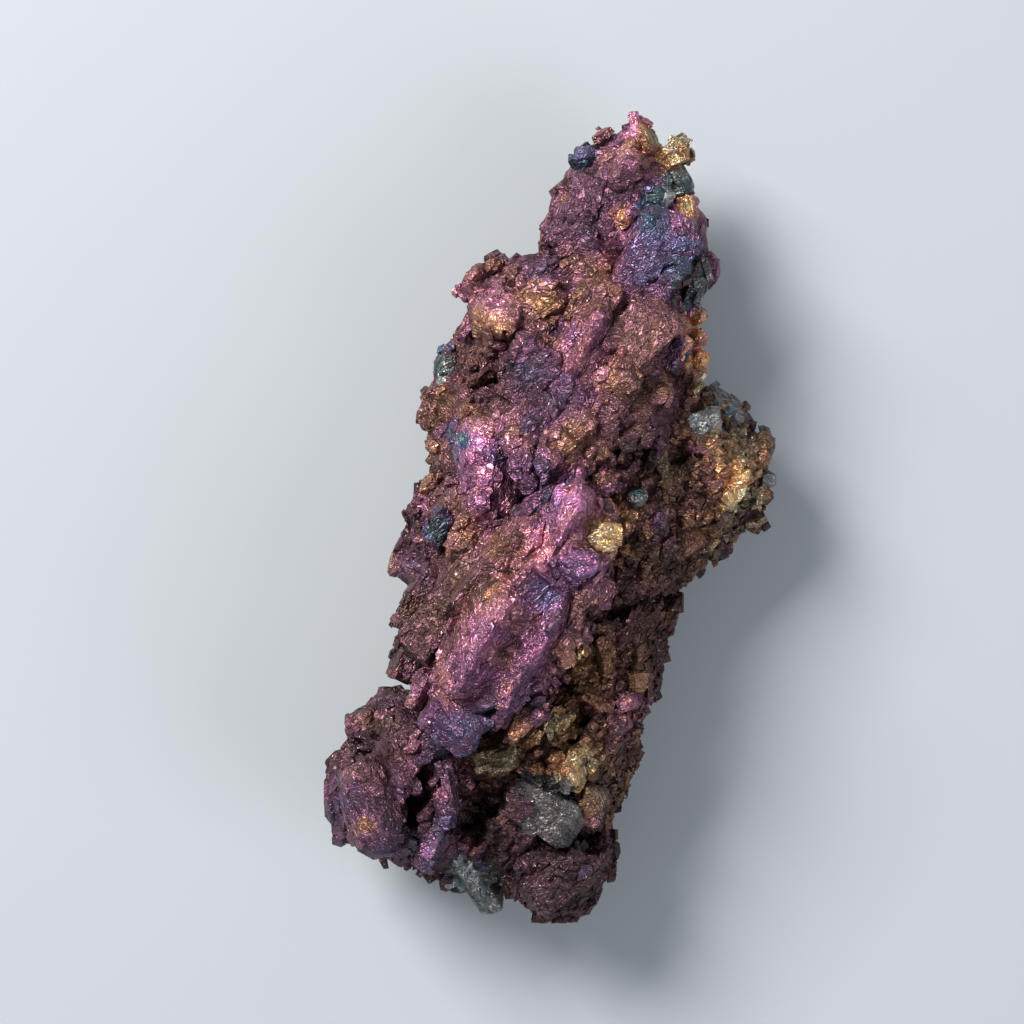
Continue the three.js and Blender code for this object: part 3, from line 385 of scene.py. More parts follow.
def tarnish_of(points, facing, film, sheen):
    """Film and sheen at each point: the form's own, drifting slowly, with a higher film on faces
    turned to one side, and a painted highlight: more sheen on faces that look up. The patches
    near by then tint it, by their mean weighted with exp(-(distance / 1.5 radii)^2), and a patch
    that holds the point takes over, with a border that wanders. Both fade on faces that look down
    and low on the sides."""
    films = film + FILM_DRIFT * wave_noise(points, FILM_LENGTH, 5)
    films += FLECK * wave_noise(points, FLECK_LENGTH, 6)
    films += 0.09 * (facing @ TINT_SIDE) * min(1, 2.5 * film)
    # Painted highlight: faces that look up get more sheen.
    sheens = sheen + SHEEN_DRIFT * wave_noise(points, SHEEN_LENGTH, 8) + 0.2 * (facing[:, 2] - 0.6)
    wander = PATCH_WANDER * wave_noise(points, WANDER_LENGTH, 9)
    spread = np.full((len(points), 3), TINY)
    for x, y, radius, patch_film, patch_sheen in PATCHES:
        far = (points[:, 0] - x) ** 2 + (points[:, 1] - y) ** 2
        if patch_film < SILVER:
            tint = (1, patch_film, min(patch_sheen, 1))
            spread += np.exp(-far / (1.5 * radius) ** 2)[:, None] * tint
    upward = np.clip(0.4 + 1.2 * facing[:, 2], 0, 1) * np.clip((points[:, 2] - RIM + 3) / 2, 0, 1)
    share = BLEND * spread[:, 0] / (spread[:, 0] + 0.4) * upward * (film < SILVER)
    films += share * (spread[:, 1] / spread[:, 0] - film)
    sheens += share * (spread[:, 2] / spread[:, 0] - sheen)
    for x, y, radius, patch_film, patch_sheen in PATCHES:
        away = np.hypot(points[:, 0] - x, points[:, 1] - y) / radius + wander
        weight = np.clip(1.6 - 1.4 * away, 0, 1) if patch_film < SILVER else (away < 1) * 1.0
        weight *= upward
        films += weight * (patch_film + FILM_DRIFT * wave_noise(points, FILM_LENGTH, 5) - films)
        sheens += weight * (patch_sheen - sheens)
    return films, np.clip(sheens, 0, BRIGHTEST)


def grow(piece, corners, middle, frame_of, cells, relief, film, sheen, lean=(0, 0, 0.3),
         edge=26.0, axes=STREAK, shift=0.0, floor=RESTING, uneven=0.0, grit=0.2):
    """Skin of one convex form. Its corners are in the form's own box; a direction d meets its
    faces at 1 / (sum of (normal . d / distance)^edge)^(1/edge), which rounds its edges a little.
    The point then moves along the outward normal by the crust's height, and slides on inwards
    where it falls in a pit. The lean brings more of the grid to the side that is seen."""
    normals, distances = hull_faces(corners)
    forms.append((normals, distances, np.array(middle), np.linalg.inv(frame_of).T))
    ways, quads = ball_grid(cells)
    ways = ways + np.array(lean) @ np.linalg.inv(frame_of).T * np.linalg.norm(frame_of, axis=0)
    ways /= np.linalg.norm(ways, axis=1, keepdims=True)
    gauge = np.maximum(ways @ normals.T / distances, 0)
    top = gauge.max(1, keepdims=True)
    share = (gauge / top) ** edge
    size = top[:, 0] * share.sum(1) ** (1 / edge)
    outward = (share / np.maximum(gauge, TINY) / distances * (gauge > 0)) @ normals
    points = middle + (ways / size[:, None]) @ frame_of.T
    outward = outward @ np.linalg.inv(frame_of)
    outward /= np.linalg.norm(outward, axis=1, keepdims=True)
    move, painted_shade = crust(points, axes, shift, relief, uneven)
    points, painted_shade = sink_pits(points + outward * move[:, None], middle, painted_shade)
    inside = INSET + INSET_STEP * (len(forms) % INSET_STEPS)
    inside = inside + INSET_WAVE * np.abs(wave_noise(points, INSET_LENGTH, 30))
    points[:, 2] = np.clip(points[:, 2], floor, HIGHEST[2] - inside)
    inside = inside[:, None]
    points[:, :2] = np.clip(points[:, :2], LOWEST[:2] + inside, HIGHEST[:2] - inside)
    a, b, c, d = (points[quads[:, k]] for k in range(4))
    facing = np.zeros_like(points)
    for k in range(4):
        np.add.at(facing, quads[:, k], np.cross(c - a, d - b))
    facing /= np.maximum(np.linalg.norm(facing, axis=1, keepdims=True), 1e-9)
    films, sheens = tarnish_of(points, facing, film, sheen)
    own = (points - middle) @ np.array(axes).T + shift
    # The third tone is painted shade: that of hollows, creases and pits, plus the painted shade of the
    # skin under the flakes.
    tones = np.stack([films, sheens, np.clip(painted_shade + PAINTED_UNDER_SHADE, 0, 1)], 1)
    shells.setdefault(piece, []).append((points, quads, tones, own))
    ledges.append((axes[0], grit))


def grow_mass(piece, mass, cells, film, sheen, **finish):
    """Skin of a mass, in the box round its corners, on a grid of so many cells along the edge
    of a cube."""
    corners = np.array(MASSES[mass])
    middle = mass_middle(corners)
    half = np.ptp(corners, axis=0) / 2
    relief = finish.pop("relief", MASS_RELIEF)
    grow(piece, (corners - middle) / half, middle, np.diag(half), cells, relief, film, sheen,
         uneven=SWELL, **finish)


# The finish: a dull brown-black skin under a film of tarnish whose thickness sets its colour,
# broken into countless tiny cleaved facets that each catch the light their own way.
# Hollows, pits, plate borders and wrinkle valleys are mixed towards black as painted shade;
# the brightest sheen and one speck in forty add painted highlight and painted glints.
FILM_COLOURS = [
    (0.00, (0.26, 0.21, 0.10)), (0.05, (0.84, 0.72, 0.52)), (0.12, (0.80, 0.52, 0.23)),
    (0.20, (0.70, 0.34, 0.17)), (0.30, (0.54, 0.25, 0.19)), (0.42, (0.62, 0.26, 0.34)),
    (0.50, (0.46, 0.18, 0.34)), (0.62, (0.26, 0.14, 0.28)), (0.72, (0.20, 0.18, 0.37)),
    (0.82, (0.11, 0.23, 0.34)), (0.90, (0.09, 0.22, 0.23)), (1.00, (0.60, 0.62, 0.62)),
]
# The skin's own bare colour, the pale pink of a painted glint, and the black of painted shade.
BARE, GLINT, SHADE_BLACK = (0.080, 0.045, 0.044, 1), (0.60, 0.50, 0.50, 1), (0.006, 0.004, 0.004, 1)
PLATES_PER_MM, SCALES_PER_MM, SPECKS_PER_MM = 2.3, 4.6, 10.0
GLINTS = 0.975  # one speck in forty gets a painted glint in its colour and is smoother
tarnish = bpy.data.materials.new("tarnished_sulphide")
tarnish.use_nodes = True
nodes, links = tarnish.node_tree.nodes, tarnish.node_tree.links
nodes.clear()


def node(kind, **values):
    """A new shader node with its settings and, by name, its sockets' values or what feeds them."""
    made = nodes.new(kind)
    for key, value in values.items():
        if not key.startswith("in_"):
            setattr(made, key, value)
            continue
        socket = made.inputs[int(key[3:]) if key[3:].isdigit() else key[3:]]
        if isinstance(value, bpy.types.NodeSocket):
            links.new(value, socket)
        else:
            socket.default_value = value
    return made


def reckon(operation, first, second, clamp=False):
    """A math node of two sockets or plain numbers."""
    return node("ShaderNodeMath", operation=operation, use_clamp=clamp, in_0=first,
                in_1=second).outputs[0]


def plus(first, second, clamp=False):
    """first + second"""
    return reckon("ADD", first, second, clamp)


def minus(first, second, clamp=False):
    """first - second"""
    return reckon("SUBTRACT", first, second, clamp)


def times(first, second, clamp=False):
    """first * second"""
    return reckon("MULTIPLY", first, second, clamp)


def mixed(first, second, share):
    """The first colour with a share of the second in it."""
    return node("ShaderNodeMix", data_type="RGBA", in_A=first, in_B=second,
                in_Factor=share).outputs["Result"]


def tilt_by(cells, amount, before):
    """The normal before it plus amount times (the cell's random colour - a half)."""
    centred = node("ShaderNodeVectorMath", operation="SUBTRACT", in_0=cells.outputs["Color"],
                   in_1=(0.5, 0.5, 0.5))
    return node("ShaderNodeVectorMath", operation="MULTIPLY_ADD", in_0=centred.outputs[0],
                in_1=(amount,) * 3, in_2=before).outputs[0]


own = node("ShaderNodeAttribute", attribute_name="own").outputs["Vector"]
lengthwise, drawn_out = (
    node("ShaderNodeMapping", vector_type="POINT", in_Scale=(along, 1, 1), in_Vector=own).outputs[0]
    for along in (0.65, 0.22))
plates, scales, specks = (
    node("ShaderNodeTexVoronoi", in_Scale=fineness, in_Vector=lengthwise)
    for fineness in (PLATES_PER_MM, SCALES_PER_MM, SPECKS_PER_MM))
border = node("ShaderNodeTexVoronoi", feature="DISTANCE_TO_EDGE", in_Scale=PLATES_PER_MM,
              in_Vector=lengthwise).outputs["Distance"]
mottle = node("ShaderNodeTexNoise", in_Scale=1.1, in_Detail=6.0, in_Roughness=0.6,
              in_Vector=lengthwise).outputs["Fac"]
streaks = node("ShaderNodeTexNoise", in_Scale=6.0, in_Detail=4.0, in_Roughness=0.6,
               in_Vector=drawn_out).outputs["Fac"]
wrinkles = node("ShaderNodeTexNoise", in_Scale=1.9, in_Detail=3.0, in_Roughness=0.55,
                in_Distortion=0.6, in_Vector=lengthwise).outputs["Fac"]
plate_tone, plate_shine, _ = node("ShaderNodeSeparateColor", in_0=plates.outputs["Color"]).outputs
speck_shine = node("ShaderNodeSeparateColor", in_0=specks.outputs["Color"]).outputs[2]
tones = node("ShaderNodeAttribute", attribute_name="tones").outputs["Vector"]
film, sheen, painted_shade = node("ShaderNodeSeparateXYZ", in_0=tones).outputs
film = plus(film, times(minus(plate_tone, 0.5), 0.05))
film = plus(film, times(minus(mottle, 0.5), 0.18), True)
ramp = node("ShaderNodeValToRGB", in_0=film)
stops = ramp.color_ramp.elements
while len(stops) < len(FILM_COLOURS):
    stops.new(0.5)
for stop, (place, colour) in zip(stops, FILM_COLOURS):
    stop.position = place
    stop.color = (*colour, 1)
# Painted highlight: a sheen above 1 brightens the film's colour beyond its own.
painted_highlight_gain = reckon("MAXIMUM", sheen, 1.0)
sheen = times(sheen, plus(0.65, times(plate_shine, 0.5)))
sheen = times(sheen, plus(0.4, times(streaks, 1.2)), True)
bright = node("ShaderNodeVectorMath", operation="SCALE", in_0=ramp.outputs[0], in_Scale=painted_highlight_gain)
# A painted glint: one speck in forty is mixed a third of the way towards pale pink, and is also less
# rough.
flash = reckon("GREATER_THAN", speck_shine, GLINTS)
skin = mixed(mixed(BARE, bright.outputs[0], sheen), GLINT, times(flash, 0.35))
# Painted shade: plate borders, in some places, and the valleys of the wrinkles are mixed towards black,
# as is the painted shade of hollows and pits.
crease_shade = minus(1.0, times(border, 14.0), True)
crease_shade = times(crease_shade, minus(times(mottle, 2.4), 0.9), True)
rumple = times(reckon("ABSOLUTE", minus(wrinkles, 0.5), 0.0), 2.0)
crease_shade = reckon("MAXIMUM", crease_shade, minus(0.8, times(rumple, 22.0), True))
skin = mixed(skin, SHADE_BLACK, reckon("MAXIMUM", times(painted_shade, 0.93), times(crease_shade, 0.7), True))
facets = tilt_by(plates, 0.20, node("ShaderNodeNewGeometry").outputs["Normal"])
facets = tilt_by(specks, 0.15, tilt_by(scales, 0.20, facets))
steady = node("ShaderNodeVectorMath", operation="NORMALIZE", in_0=facets)
groove = times(reckon("MINIMUM", border, 0.08), 3.0)
groove = plus(groove, times(reckon("MINIMUM", rumple, 0.22), 4.0))
worn = node("ShaderNodeBump", in_Strength=0.8, in_Distance=0.00012, in_Normal=steady.outputs[0],
            in_Height=plus(groove, times(streaks, 0.5)))
rough = minus(minus(0.46, times(sheen, 0.14)), times(flash, 0.2))
surface = node("ShaderNodeBsdfPrincipled", in_Metallic=0.85, in_Roughness=rough,
               in_Normal=worn.outputs[0])
links.new(skin, surface.inputs["Base Color"])
node("ShaderNodeOutputMaterial", in_0=surface.outputs[0])
SHARP = 34  # degrees: an edge that turns more stays crisp


def set_in_place(*pieces):
    """Makes each piece's mesh of its shells, one behind the other, with the film, sheen and
    painted shade and the skin's own coordinates at every point, and rides it on the specimen."""
    for piece in pieces:
        group = shells[piece]
        points = np.concatenate([shell[0] for shell in group]) * MM
        starts = np.cumsum([0] + [len(shell[0]) for shell in group])
        quads = np.concatenate([shell[1] + start for shell, start in zip(group, starts)])
        mesh = bpy.data.meshes.new(piece)
        mesh.vertices.add(len(points))
        mesh.vertices.foreach_set("co", points.ravel())
        mesh.loops.add(quads.size)
        mesh.loops.foreach_set("vertex_index", quads.ravel())
        mesh.polygons.add(len(quads))
        mesh.polygons.foreach_set("loop_start", np.arange(0, quads.size, 4))
        for place, name in ((2, "tones"), (3, "own")):
            values = np.concatenate([shell[place] for shell in group]).astype(np.float32)
            stored = mesh.attributes.new(name, "FLOAT_VECTOR", "POINT")
            stored.data.foreach_set("vector", values.ravel())
        mesh.update(calc_edges=True)
        mesh.polygons.foreach_set("use_smooth", np.full(len(quads), not piece.endswith("flakes")))
        mesh.set_sharp_from_angle(angle=math.radians(SHARP))
        mesh.materials.append(tarnish)
        skin_piece = bpy.data.objects.new(piece, mesh)
        bpy.context.scene.collection.objects.link(skin_piece)
        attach(skin_piece, "root")
        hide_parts("chalcocite")


grow_mass("belly", "belly", 40, 0.42, 0.22, lean=(0, 0, -0.25), floor=0.0, grit=0.3)
grow_mass("belly", "saddle", 30, 0.4, 0.1, grit=0.8)
grow_mass("belly", "neck", 28, 0.3, 0.12, relief=GRITTY, grit=1.0)
grow_mass("ridge", "ridge", 70, 0.42, 0.4, relief=(0.5, 0.4, 0.13), grit=0.08)
grow_mass("ridge", "cheek", 32, 0.42, 0.25, lean=(-0.3, 0, 0.2), grit=0.25)
grow_mass("shoulder", "shoulder", 74, 0.42, 0.4, relief=(0.8, 0.35, 0.11), grit=0.08)
grow_mass("shoulder", "brow", 34, 0.40, 0.35, relief=(0.8, 0.45, 0.14), grit=0.2)
grow_mass("shoulder", "beak", 36, 0.35, 0.8, relief=(0.0, 0.25, 0.10), grit=0.0, edge=90.0)
grow_mass("spire", "spire", 50, 0.45, 0.32, relief=(0.7, 0.35, 0.11), grit=0.08)
grow_mass("lobe", "lobe", 50, 0.17, 0.2, lean=(0.25, 0, 0.2), relief=GRITTY, grit=1.0)
grow_mass("rubble", "rubble", 60, 0.27, 0.12, lean=(0.15, 0, 0.25), relief=(1.0, 0.6, 0.2),
          grit=1.0)
grow_mass("rubble", "foot", 36, 0.58, 0.08, lean=(0, -0.25, 0.2), relief=(0.7, 0.6, 0.2),
          grit=0.8)
grow_mass("haunch", "haunch", 60, 0.55, 0.15, lean=(-0.15, -0.1, 0.2), relief=(0.6, 0.4, 0.13),
          grit=0.08)
set_in_place("belly", "ridge", "shoulder", "spire", "lobe", "rubble", "haunch")

# The crystals that stand on the masses, each set where it grew. They are stubby six-sided
# prisms, four-sided blocks, thin blades, wedges and rounded knobs, all of the same tarnished
# sulphide as what they grew on, and fused to it.
GOLDEN_TURN = math.pi * (3 - math.sqrt(5))
LUMP_POINTS, KNOB_POINTS = 13, 24
CRYSTAL_RELIEF = (0.0, 0.15, 0.08)
UNEVEN, UNEVEN_ROUND = 0.16, 0.08  # how far corners stray from the regular shape
ROLL = 0.7  # greatest turn of a crystal about its own length, in radians
EDGE, EDGE_ROUND = 60.0, 14.0  # how crisp the edges are
GRIDS = ((4.1, 20), (2.7, 14), (1.7, 11), (0, 8))  # cells for a crystal longer than each length


def chance(seed, salt):
    """A repeatable number from 0 to 1: the fraction part of 43758.5453 times a sine."""
    wave = math.sin(seed * 12.9898 + salt * 78.233) * 43758.5453
    return wave - math.floor(wave)


def ring(along, radius, sides, start):
    """Corners of a regular polygon round the X axis at a place along it."""
    angles = start + np.arange(sides) * 2 * math.pi / sides
    return np.stack([np.full(sides, along), radius * np.cos(angles), radius * np.sin(angles)], 1)


def round_points(count):
    """Points of a ball laid on a golden spiral: height falls evenly, turn grows by 137.5 degrees."""
    height = 1 - (2 * np.arange(count) + 1) / count
    angle = np.arange(count) * GOLDEN_TURN
    radius = np.sqrt(1 - height ** 2)
    return np.stack([height, radius * np.cos(angle), radius * np.sin(angle)], 1)


CORNER, TOP = math.pi / 4, math.pi / 2  # where a ring's first corner lies
LOAF_SIDES = 8
LOAF_RINGS = ((-1, 0.55), (-0.7, 0.9), (0.6, 1), (1, 0.6))
ROUND = ("lump", "knob", "loaf")
SHAPES = {
    "prism": np.concatenate([ring(-1, 0.8, 6, 0), ring(0.7, 1, 6, 0), ring(1, 0.6, 6, 0)]),
    "block": np.concatenate([
        ring(-1, 1.1, 4, CORNER), ring(0.7, 1.3, 4, CORNER), ring(1, 0.85, 4, CORNER)]),
    "plate": np.concatenate([ring(-1, 0.4, 4, 0), ring(0.2, 1, 4, 0), ring(1, 0.3, 4, 0)]),
    "chip": np.concatenate([ring(-1, 1.2, 4, 0), ring(1, 1.0, 4, 0)]),
    "wedge": np.concatenate([ring(-1, 0.8, 4, 0), ring(-0.5, 1, 4, 0), [(1, 0, 0)]]),
    "roof": np.concatenate([ring(-1, 0.8, 3, TOP), ring(0.6, 1.1, 3, TOP), ring(1, 0.5, 3, TOP)]),
    "loaf": np.concatenate([ring(along, radius, LOAF_SIDES, 0) for along, radius in LOAF_RINGS]),
    "lump": round_points(LUMP_POINTS),
    "knob": round_points(KNOB_POINTS),
}


def turned(roll, tip, turn):
    """Rotation that rolls about the length, then raises its far end, then turns it in plan."""
    cr, sr, cp, sp, ct, st = (f(a) for a in (roll, -tip, turn) for f in (math.cos, math.sin))
    about_x = np.array([[1, 0, 0], [0, cr, -sr], [0, sr, cr]])
    about_y = np.array([[cp, 0, sp], [0, 1, 0], [-sp, 0, cp]])
    about_z = np.array([[ct, -st, 0], [st, ct, 0], [0, 0, 1]])
    return about_z @ about_y @ about_x


def grow_crystal(piece, shape, seed, size, turn, tip, middle, film, sheen, **finish):
    """Skin of one crystal: its shape's corners each nudged a little, sized and turned."""
    corners = SHAPES[shape].copy()
    nudges = [[chance(seed, 3 * k + step) - 0.5 for step in (1, 2, 3)] for k in range(len(corners))]
    uneven = UNEVEN_ROUND if shape in ("knob", "loaf") else UNEVEN
    corners = corners + uneven * np.array(nudges)
    pose = turned((chance(seed, 9) - 0.5) * ROLL, math.radians(tip), math.radians(turn))
    cells = next(cells for length, cells in GRIDS if max(size) > length)
    grow(piece, corners, middle, pose * (np.array(size) / 2), finish.pop("cells", cells),
         CRYSTAL_RELIEF, film, sheen, axes=pose.T, shift=13.7 * seed % 97, grit=0.05, **finish)


count = 0


def grow_crystals(piece, rows):
    """A row gives shape, x, y, how far the top stands above the masses, length, width, height,
    turn of the length from +X in degrees, tip of its far end, film and sheen."""
    global count
    for shape, x, y, rise, length, width, height, turn, tip, film, sheen in rows:
        middle = np.array([x, y, skin_height(x, y) + rise - height / 2])
        grow_crystal(piece, shape, count, (length, width, height), turn, tip, middle, film, sheen,
                     edge=EDGE_ROUND if shape in ROUND else EDGE)
        count += 1


grow_crystals("spire_crystals", [
    ("wedge", 5.5, 24.3, 0.9, 3.0, 2.5, 2.8, 108, 0, 0.40, 0.7),
    ("lump", 2.3, 22.7, 0.9, 2.4, 2.1, 2.6, 30, 0, 0.95, 0.4),
    ("lump", 3.3, 23.9, 0.5, 1.3, 1.2, 1.8, 80, 0, 0.4, 0.1),
    ("block", 7.8, 22.9, 0.9, 2.1, 1.7, 2.4, 25, 10, 0.12, 0.6),
    ("lump", 8.1, 21.0, 1.0, 2.4, 2.2, 2.6, 60, 0, 0.97, 0.5),
    ("block", 8.4, 19.4, 0.7, 1.6, 1.2, 2.0, 100, 0, 0.19, 1.0),
    ("lump", 6.5, 19.9, 0.7, 2.4, 2.0, 2.4, 20, 0, 0.88, 0.6),
    ("knob", 4.7, 18.7, 1.0, 1.4, 1.4, 2.0, 0, 0, 0.15, 1.2),
    ("block", 1.7, 17.8, 0.9, 3.3, 2.2, 2.8, 35, 12, 0.6, 0.45),
    ("block", 2.3, 19.9, 0.9, 3.0, 2.5, 2.8, 75, -8, 0.5, 0.3),
    ("prism", 4.6, 21.7, 0.7, 2.6, 1.8, 2.2, 60, 10, 0.44, 0.7),
    ("plate", 3.7, 17.0, 1.2, 1.4, 0.5, 1.8, -60, 0, 0.56, 1.0),
    ("block", 6.2, 16.2, 0.7, 6.4, 4.6, 4.6, 62, 6, 0.66, 0.7),
    ("prism", 8.9, 14.5, 0.8, 3.8, 2.0, 3.0, 72, 0, 0.95, 0.4),
    ("lump", 9.8, 15.7, 0.2, 2.7, 1.7, 2.6, 85, 0, 0.40, 0.3),
])
grow_crystals("shoulder_crystals", [
    ("block", 2.4, 15.6, 0.6, 3.4, 2.6, 2.8, 40, 8, 0.38, 0.35),
    ("block", 2.9, 13.4, 0.7, 3.6, 2.9, 3.2, 62, -6, 0.24, 0.5),
    ("block", -0.6, 13.2, 0.7, 3.4, 2.6, 3.2, 28, 6, 0.32, 0.6),
    ("block", -0.2, 15.2, 0.6, 2.6, 2.0, 3.2, 38, 0, 0.55, 0.4),
    ("lump", -3.4, 16.1, 1.0, 1.8, 1.7, 3.0, 0, 0, 0.35, 0.2),
    ("lump", -4.5, 15.2, 0.7, 2.2, 1.8, 3.4, 40, 0, 0.24, 0.5),
    ("block", -4.9, 11.8, 1.0, 1.5, 1.0, 2.4, 60, 0, 0.42, 0.8),
    ("block", -6.4, 9.8, 0.9, 1.7, 1.2, 2.2, 75, 0, 1.0, 0.6),
    ("lump", -6.8, 8.9, 0.7, 1.4, 1.2, 2.0, 0, 0, 0.22, 0.6),
    ("block", -1.4, 9.0, 0.7, 4.4, 3.6, 3.6, 58, 5, 0.60, 0.3),
    ("roof", 2.0, 10.3, 0.9, 7.0, 4.4, 4.2, 68, 4, 0.53, 0.8),
    ("block", 5.5, 11.4, 0.7, 4.2, 3.6, 3.2, 48, -5, 0.38, 0.35),
    ("block", 4.2, 8.6, 0.6, 2.8, 2.3, 2.8, 30, 8, 0.30, 0.7),
    ("block", 7.6, 10.3, 0.6, 2.4, 2.0, 2.8, 70, 0, 0.75, 0.3),
    ("lump", 9.3, 12.8, 0.8, 1.5, 1.4, 2.2, 0, 0, 0.2, 0.8),
    ("lump", 9.3, 11.4, 0.7, 1.5, 1.2, 2.2, 50, 0, 0.3, 0.9),
    ("lump", 9.5, 9.9, 0.7, 1.6, 1.2, 2.2, 80, 0, 0.17, 0.9),
    ("plate", 9.0, 8.1, 1.0, 1.7, 0.6, 2.2, 70, 0, 0.12, 0.9),
    ("lump", -7.4, 6.6, 0.5, 3.4, 2.0, 3.4, 88, 0, 0.30, 0.3),
    ("lump", -7.3, 4.6, 0.6, 1.5, 1.3, 2.2, 0, 0, 0.12, 0.6),
    ("lump", -7.4, 2.2, 0.6, 1.7, 1.4, 2.4, 30, 0, 0.20, 0.5),
    ("loaf", -3.8, 3.0, 3.0, 7.4, 4.5, 5.6, 97, -4, 0.47, 1.0),
    ("block", -0.5, 3.1, 1.0, 2.8, 2.0, 3.0, 62, 10, 0.66, 0.6),
    ("block", 0.3, 4.3, 0.8, 2.6, 1.9, 2.6, 40, 0, 0.42, 0.6),
    ("block", -0.7, 0.7, 0.7, 2.8, 1.9, 2.6, 42, 0, 0.66, 0.25),
    ("block", 1.4, 5.4, 0.7, 3.2, 2.2, 2.8, 52, 0, 0.26, 0.6),
    ("block", -0.7, 6.3, 0.6, 3.2, 2.4, 2.8, 70, 4, 0.6, 0.4),
    ("prism", 6.4, 7.6, 0.6, 2.2, 1.6, 2.4, 15, 0, 0.26, 0.5),
    ("block", 3.4, 6.4, 0.5, 2.8, 2.2, 2.6, 65, 6, 0.4, 0.3),
])
grow_crystals("lobe_crystals", [
    ("plate", 11.4, 7.2, 0.8, 3.4, 1.4, 3.8, -40, 0, 0.98, 0.25),
    ("block", 9.6, 6.0, 1.2, 1.9, 1.5, 2.6, 10, 0, 1.0, 0.7),
    ("block", 9.8, 4.3, 1.0, 1.7, 1.3, 2.4, 35, 0, 0.34, 0.6),
    ("plate", 7.2, 3.0, 1.0, 3.8, 0.6, 2.2, -84, 0, 0.0, 0.5),
    ("lump", 5.3, 1.3, 1.0, 1.8, 1.6, 2.4, 20, 0, 0.97, 0.4),
    ("lump", 6.7, -0.3, 1.0, 2.0, 1.8, 2.4, 60, 0, 0.6, 0.3),
    ("lump", 11.1, 1.7, 0.9, 3.2, 2.0, 2.8, 84, 0, 0.14, 1.0),
    ("lump", 11.8, 3.1, 0.9, 1.8, 1.3, 2.2, 70, 0, 0.14, 0.9),
    ("lump", 13.5, 4.6, 1.0, 2.2, 1.9, 3.0, 60, 0, 0.96, 0.3),
    ("lump", 13.2, 2.4, 0.8, 2.0, 1.7, 2.8, 0, 0, 0.95, 0.35),
    ("lump", 12.9, -0.2, 0.3, 1.3, 1.2, 2.4, 0, 0, 0.1, 0.2),
    ("block", 8.5, -1.6, 0.9, 2.4, 1.8, 2.6, 35, 0, 0.34, 0.3),
    ("lump", 10.4, -1.8, 0.7, 2.4, 2.0, 2.8, 20, 0, 0.96, 0.15),
])
grow_crystals("ridge_crystals", [
    ("block", -3.2, -2.9, 0.5, 8.4, 2.6, 2.6, 46, 4, 0.36, 0.25),
    ("block", -7.5, -5.2, 0.6, 4.8, 3.4, 3.4, 54, 4, 0.36, 0.2),
    ("wedge", 1.1, 1.2, 0.6, 4.4, 2.2, 3.0, 66, 4, 0.50, 1.0),
    ("plate", -1.2, -1.4, 0.6, 3.2, 1.6, 1.8, 58, 3, 0.42, 1.0),
    ("wedge", -0.4, -3.4, 0.6, 2.0, 1.3, 2.0, -50, 0, 0.42, 1.0),
    ("knob", 1.5, -2.8, 1.0, 2.9, 2.5, 2.8, 40, 0, 0.68, 1.0),
    ("lump", 3.3, -1.2, 2.2, 2.5, 2.1, 3.2, 25, 0, 0.08, 1.0),
    ("roof", -4.0, -7.2, 0.8, 7.4, 5.6, 3.6, 62, 3, 0.45, 0.95),
    ("roof", -1.2, -7.6, 0.9, 8.4, 5.2, 3.8, 60, 4, 0.50, 0.85),
    ("roof", 0.3, -1.2, 0.6, 7.4, 4.2, 3.4, 62, 3, 0.46, 1.0),
    ("block", -5.9, -5.4, 0.5, 8.0, 3.4, 3.0, 50, 2, 0.34, 0.25),
    ("block", 1.7, -6.0, 0.4, 5.6, 2.4, 3.0, 62, 0, 0.40, 0.3),
    ("block", -1.9, -11.3, 0.9, 3.8, 3.0, 3.4, 44, 0, 0.54, 0.4),
    ("block", -4.0, -11.1, 0.9, 2.6, 1.7, 2.4, 20, 8, 0.8, 0.15),
    ("prism", -6.0, -12.5, 1.8, 3.7, 3.5, 3.8, -32, -8, 0.70, 0.7),
    ("prism", -7.9, -10.5, 1.0, 2.8, 1.4, 2.4, 62, 0, 0.42, 0.6),
    ("block", -8.4, -8.0, 0.9, 4.2, 2.2, 3.0, 66, 0, 0.38, 0.25),
    ("lump", -8.3, -3.0, 1.6, 2.9, 2.8, 4.0, 0, 0, 0.64, 0.35),
    ("lump", -9.6, -2.9, 1.0, 1.6, 1.9, 3.0, 0, 0, 0.2, 0.7),
    ("block", -6.9, -0.6, 1.1, 2.3, 1.5, 2.6, 62, 0, 0.86, 0.5),
    ("lump", -5.2, -1.7, 1.5, 3.2, 2.6, 3.2, 25, 0, 0.34, 0.85),
])
grow_crystals("haunch_crystals", [
    ("loaf", -10.9, -17.8, 1.9, 6.8, 4.4, 5.0, -74, 0, 0.60, 0.3),
    ("block", -9.2, -15.4, 0.8, 3.8, 2.4, 3.2, -70, 0, 0.58, 0.35),
    ("plate", -8.7, -13.9, 0.9, 2.0, 0.6, 2.2, 50, 0, 0.48, 0.9),
    ("lump", -13.5, -18.0, 0.5, 3.8, 2.1, 3.4, -78, 0, 0.6, 0.4),
    ("lump", -11.6, -12.9, 1.0, 3.6, 2.6, 3.4, 42, 0, 0.52, 0.25),
    ("prism", -6.5, -16.9, 1.3, 3.8, 1.8, 3.2, -80, 0, 0.58, 0.5),
    ("prism", -7.2, -19.8, 1.3, 4.2, 1.8, 3.2, 65, -6, 0.68, 0.5),
    ("prism", -4.9, -22.6, 1.2, 5.0, 2.0, 3.4, -53, -8, 1.0, 0.5),
    ("lump", -4.8, -20.3, 0.7, 2.2, 1.9, 2.8, 0, 0, 0.3, 0.3),
])
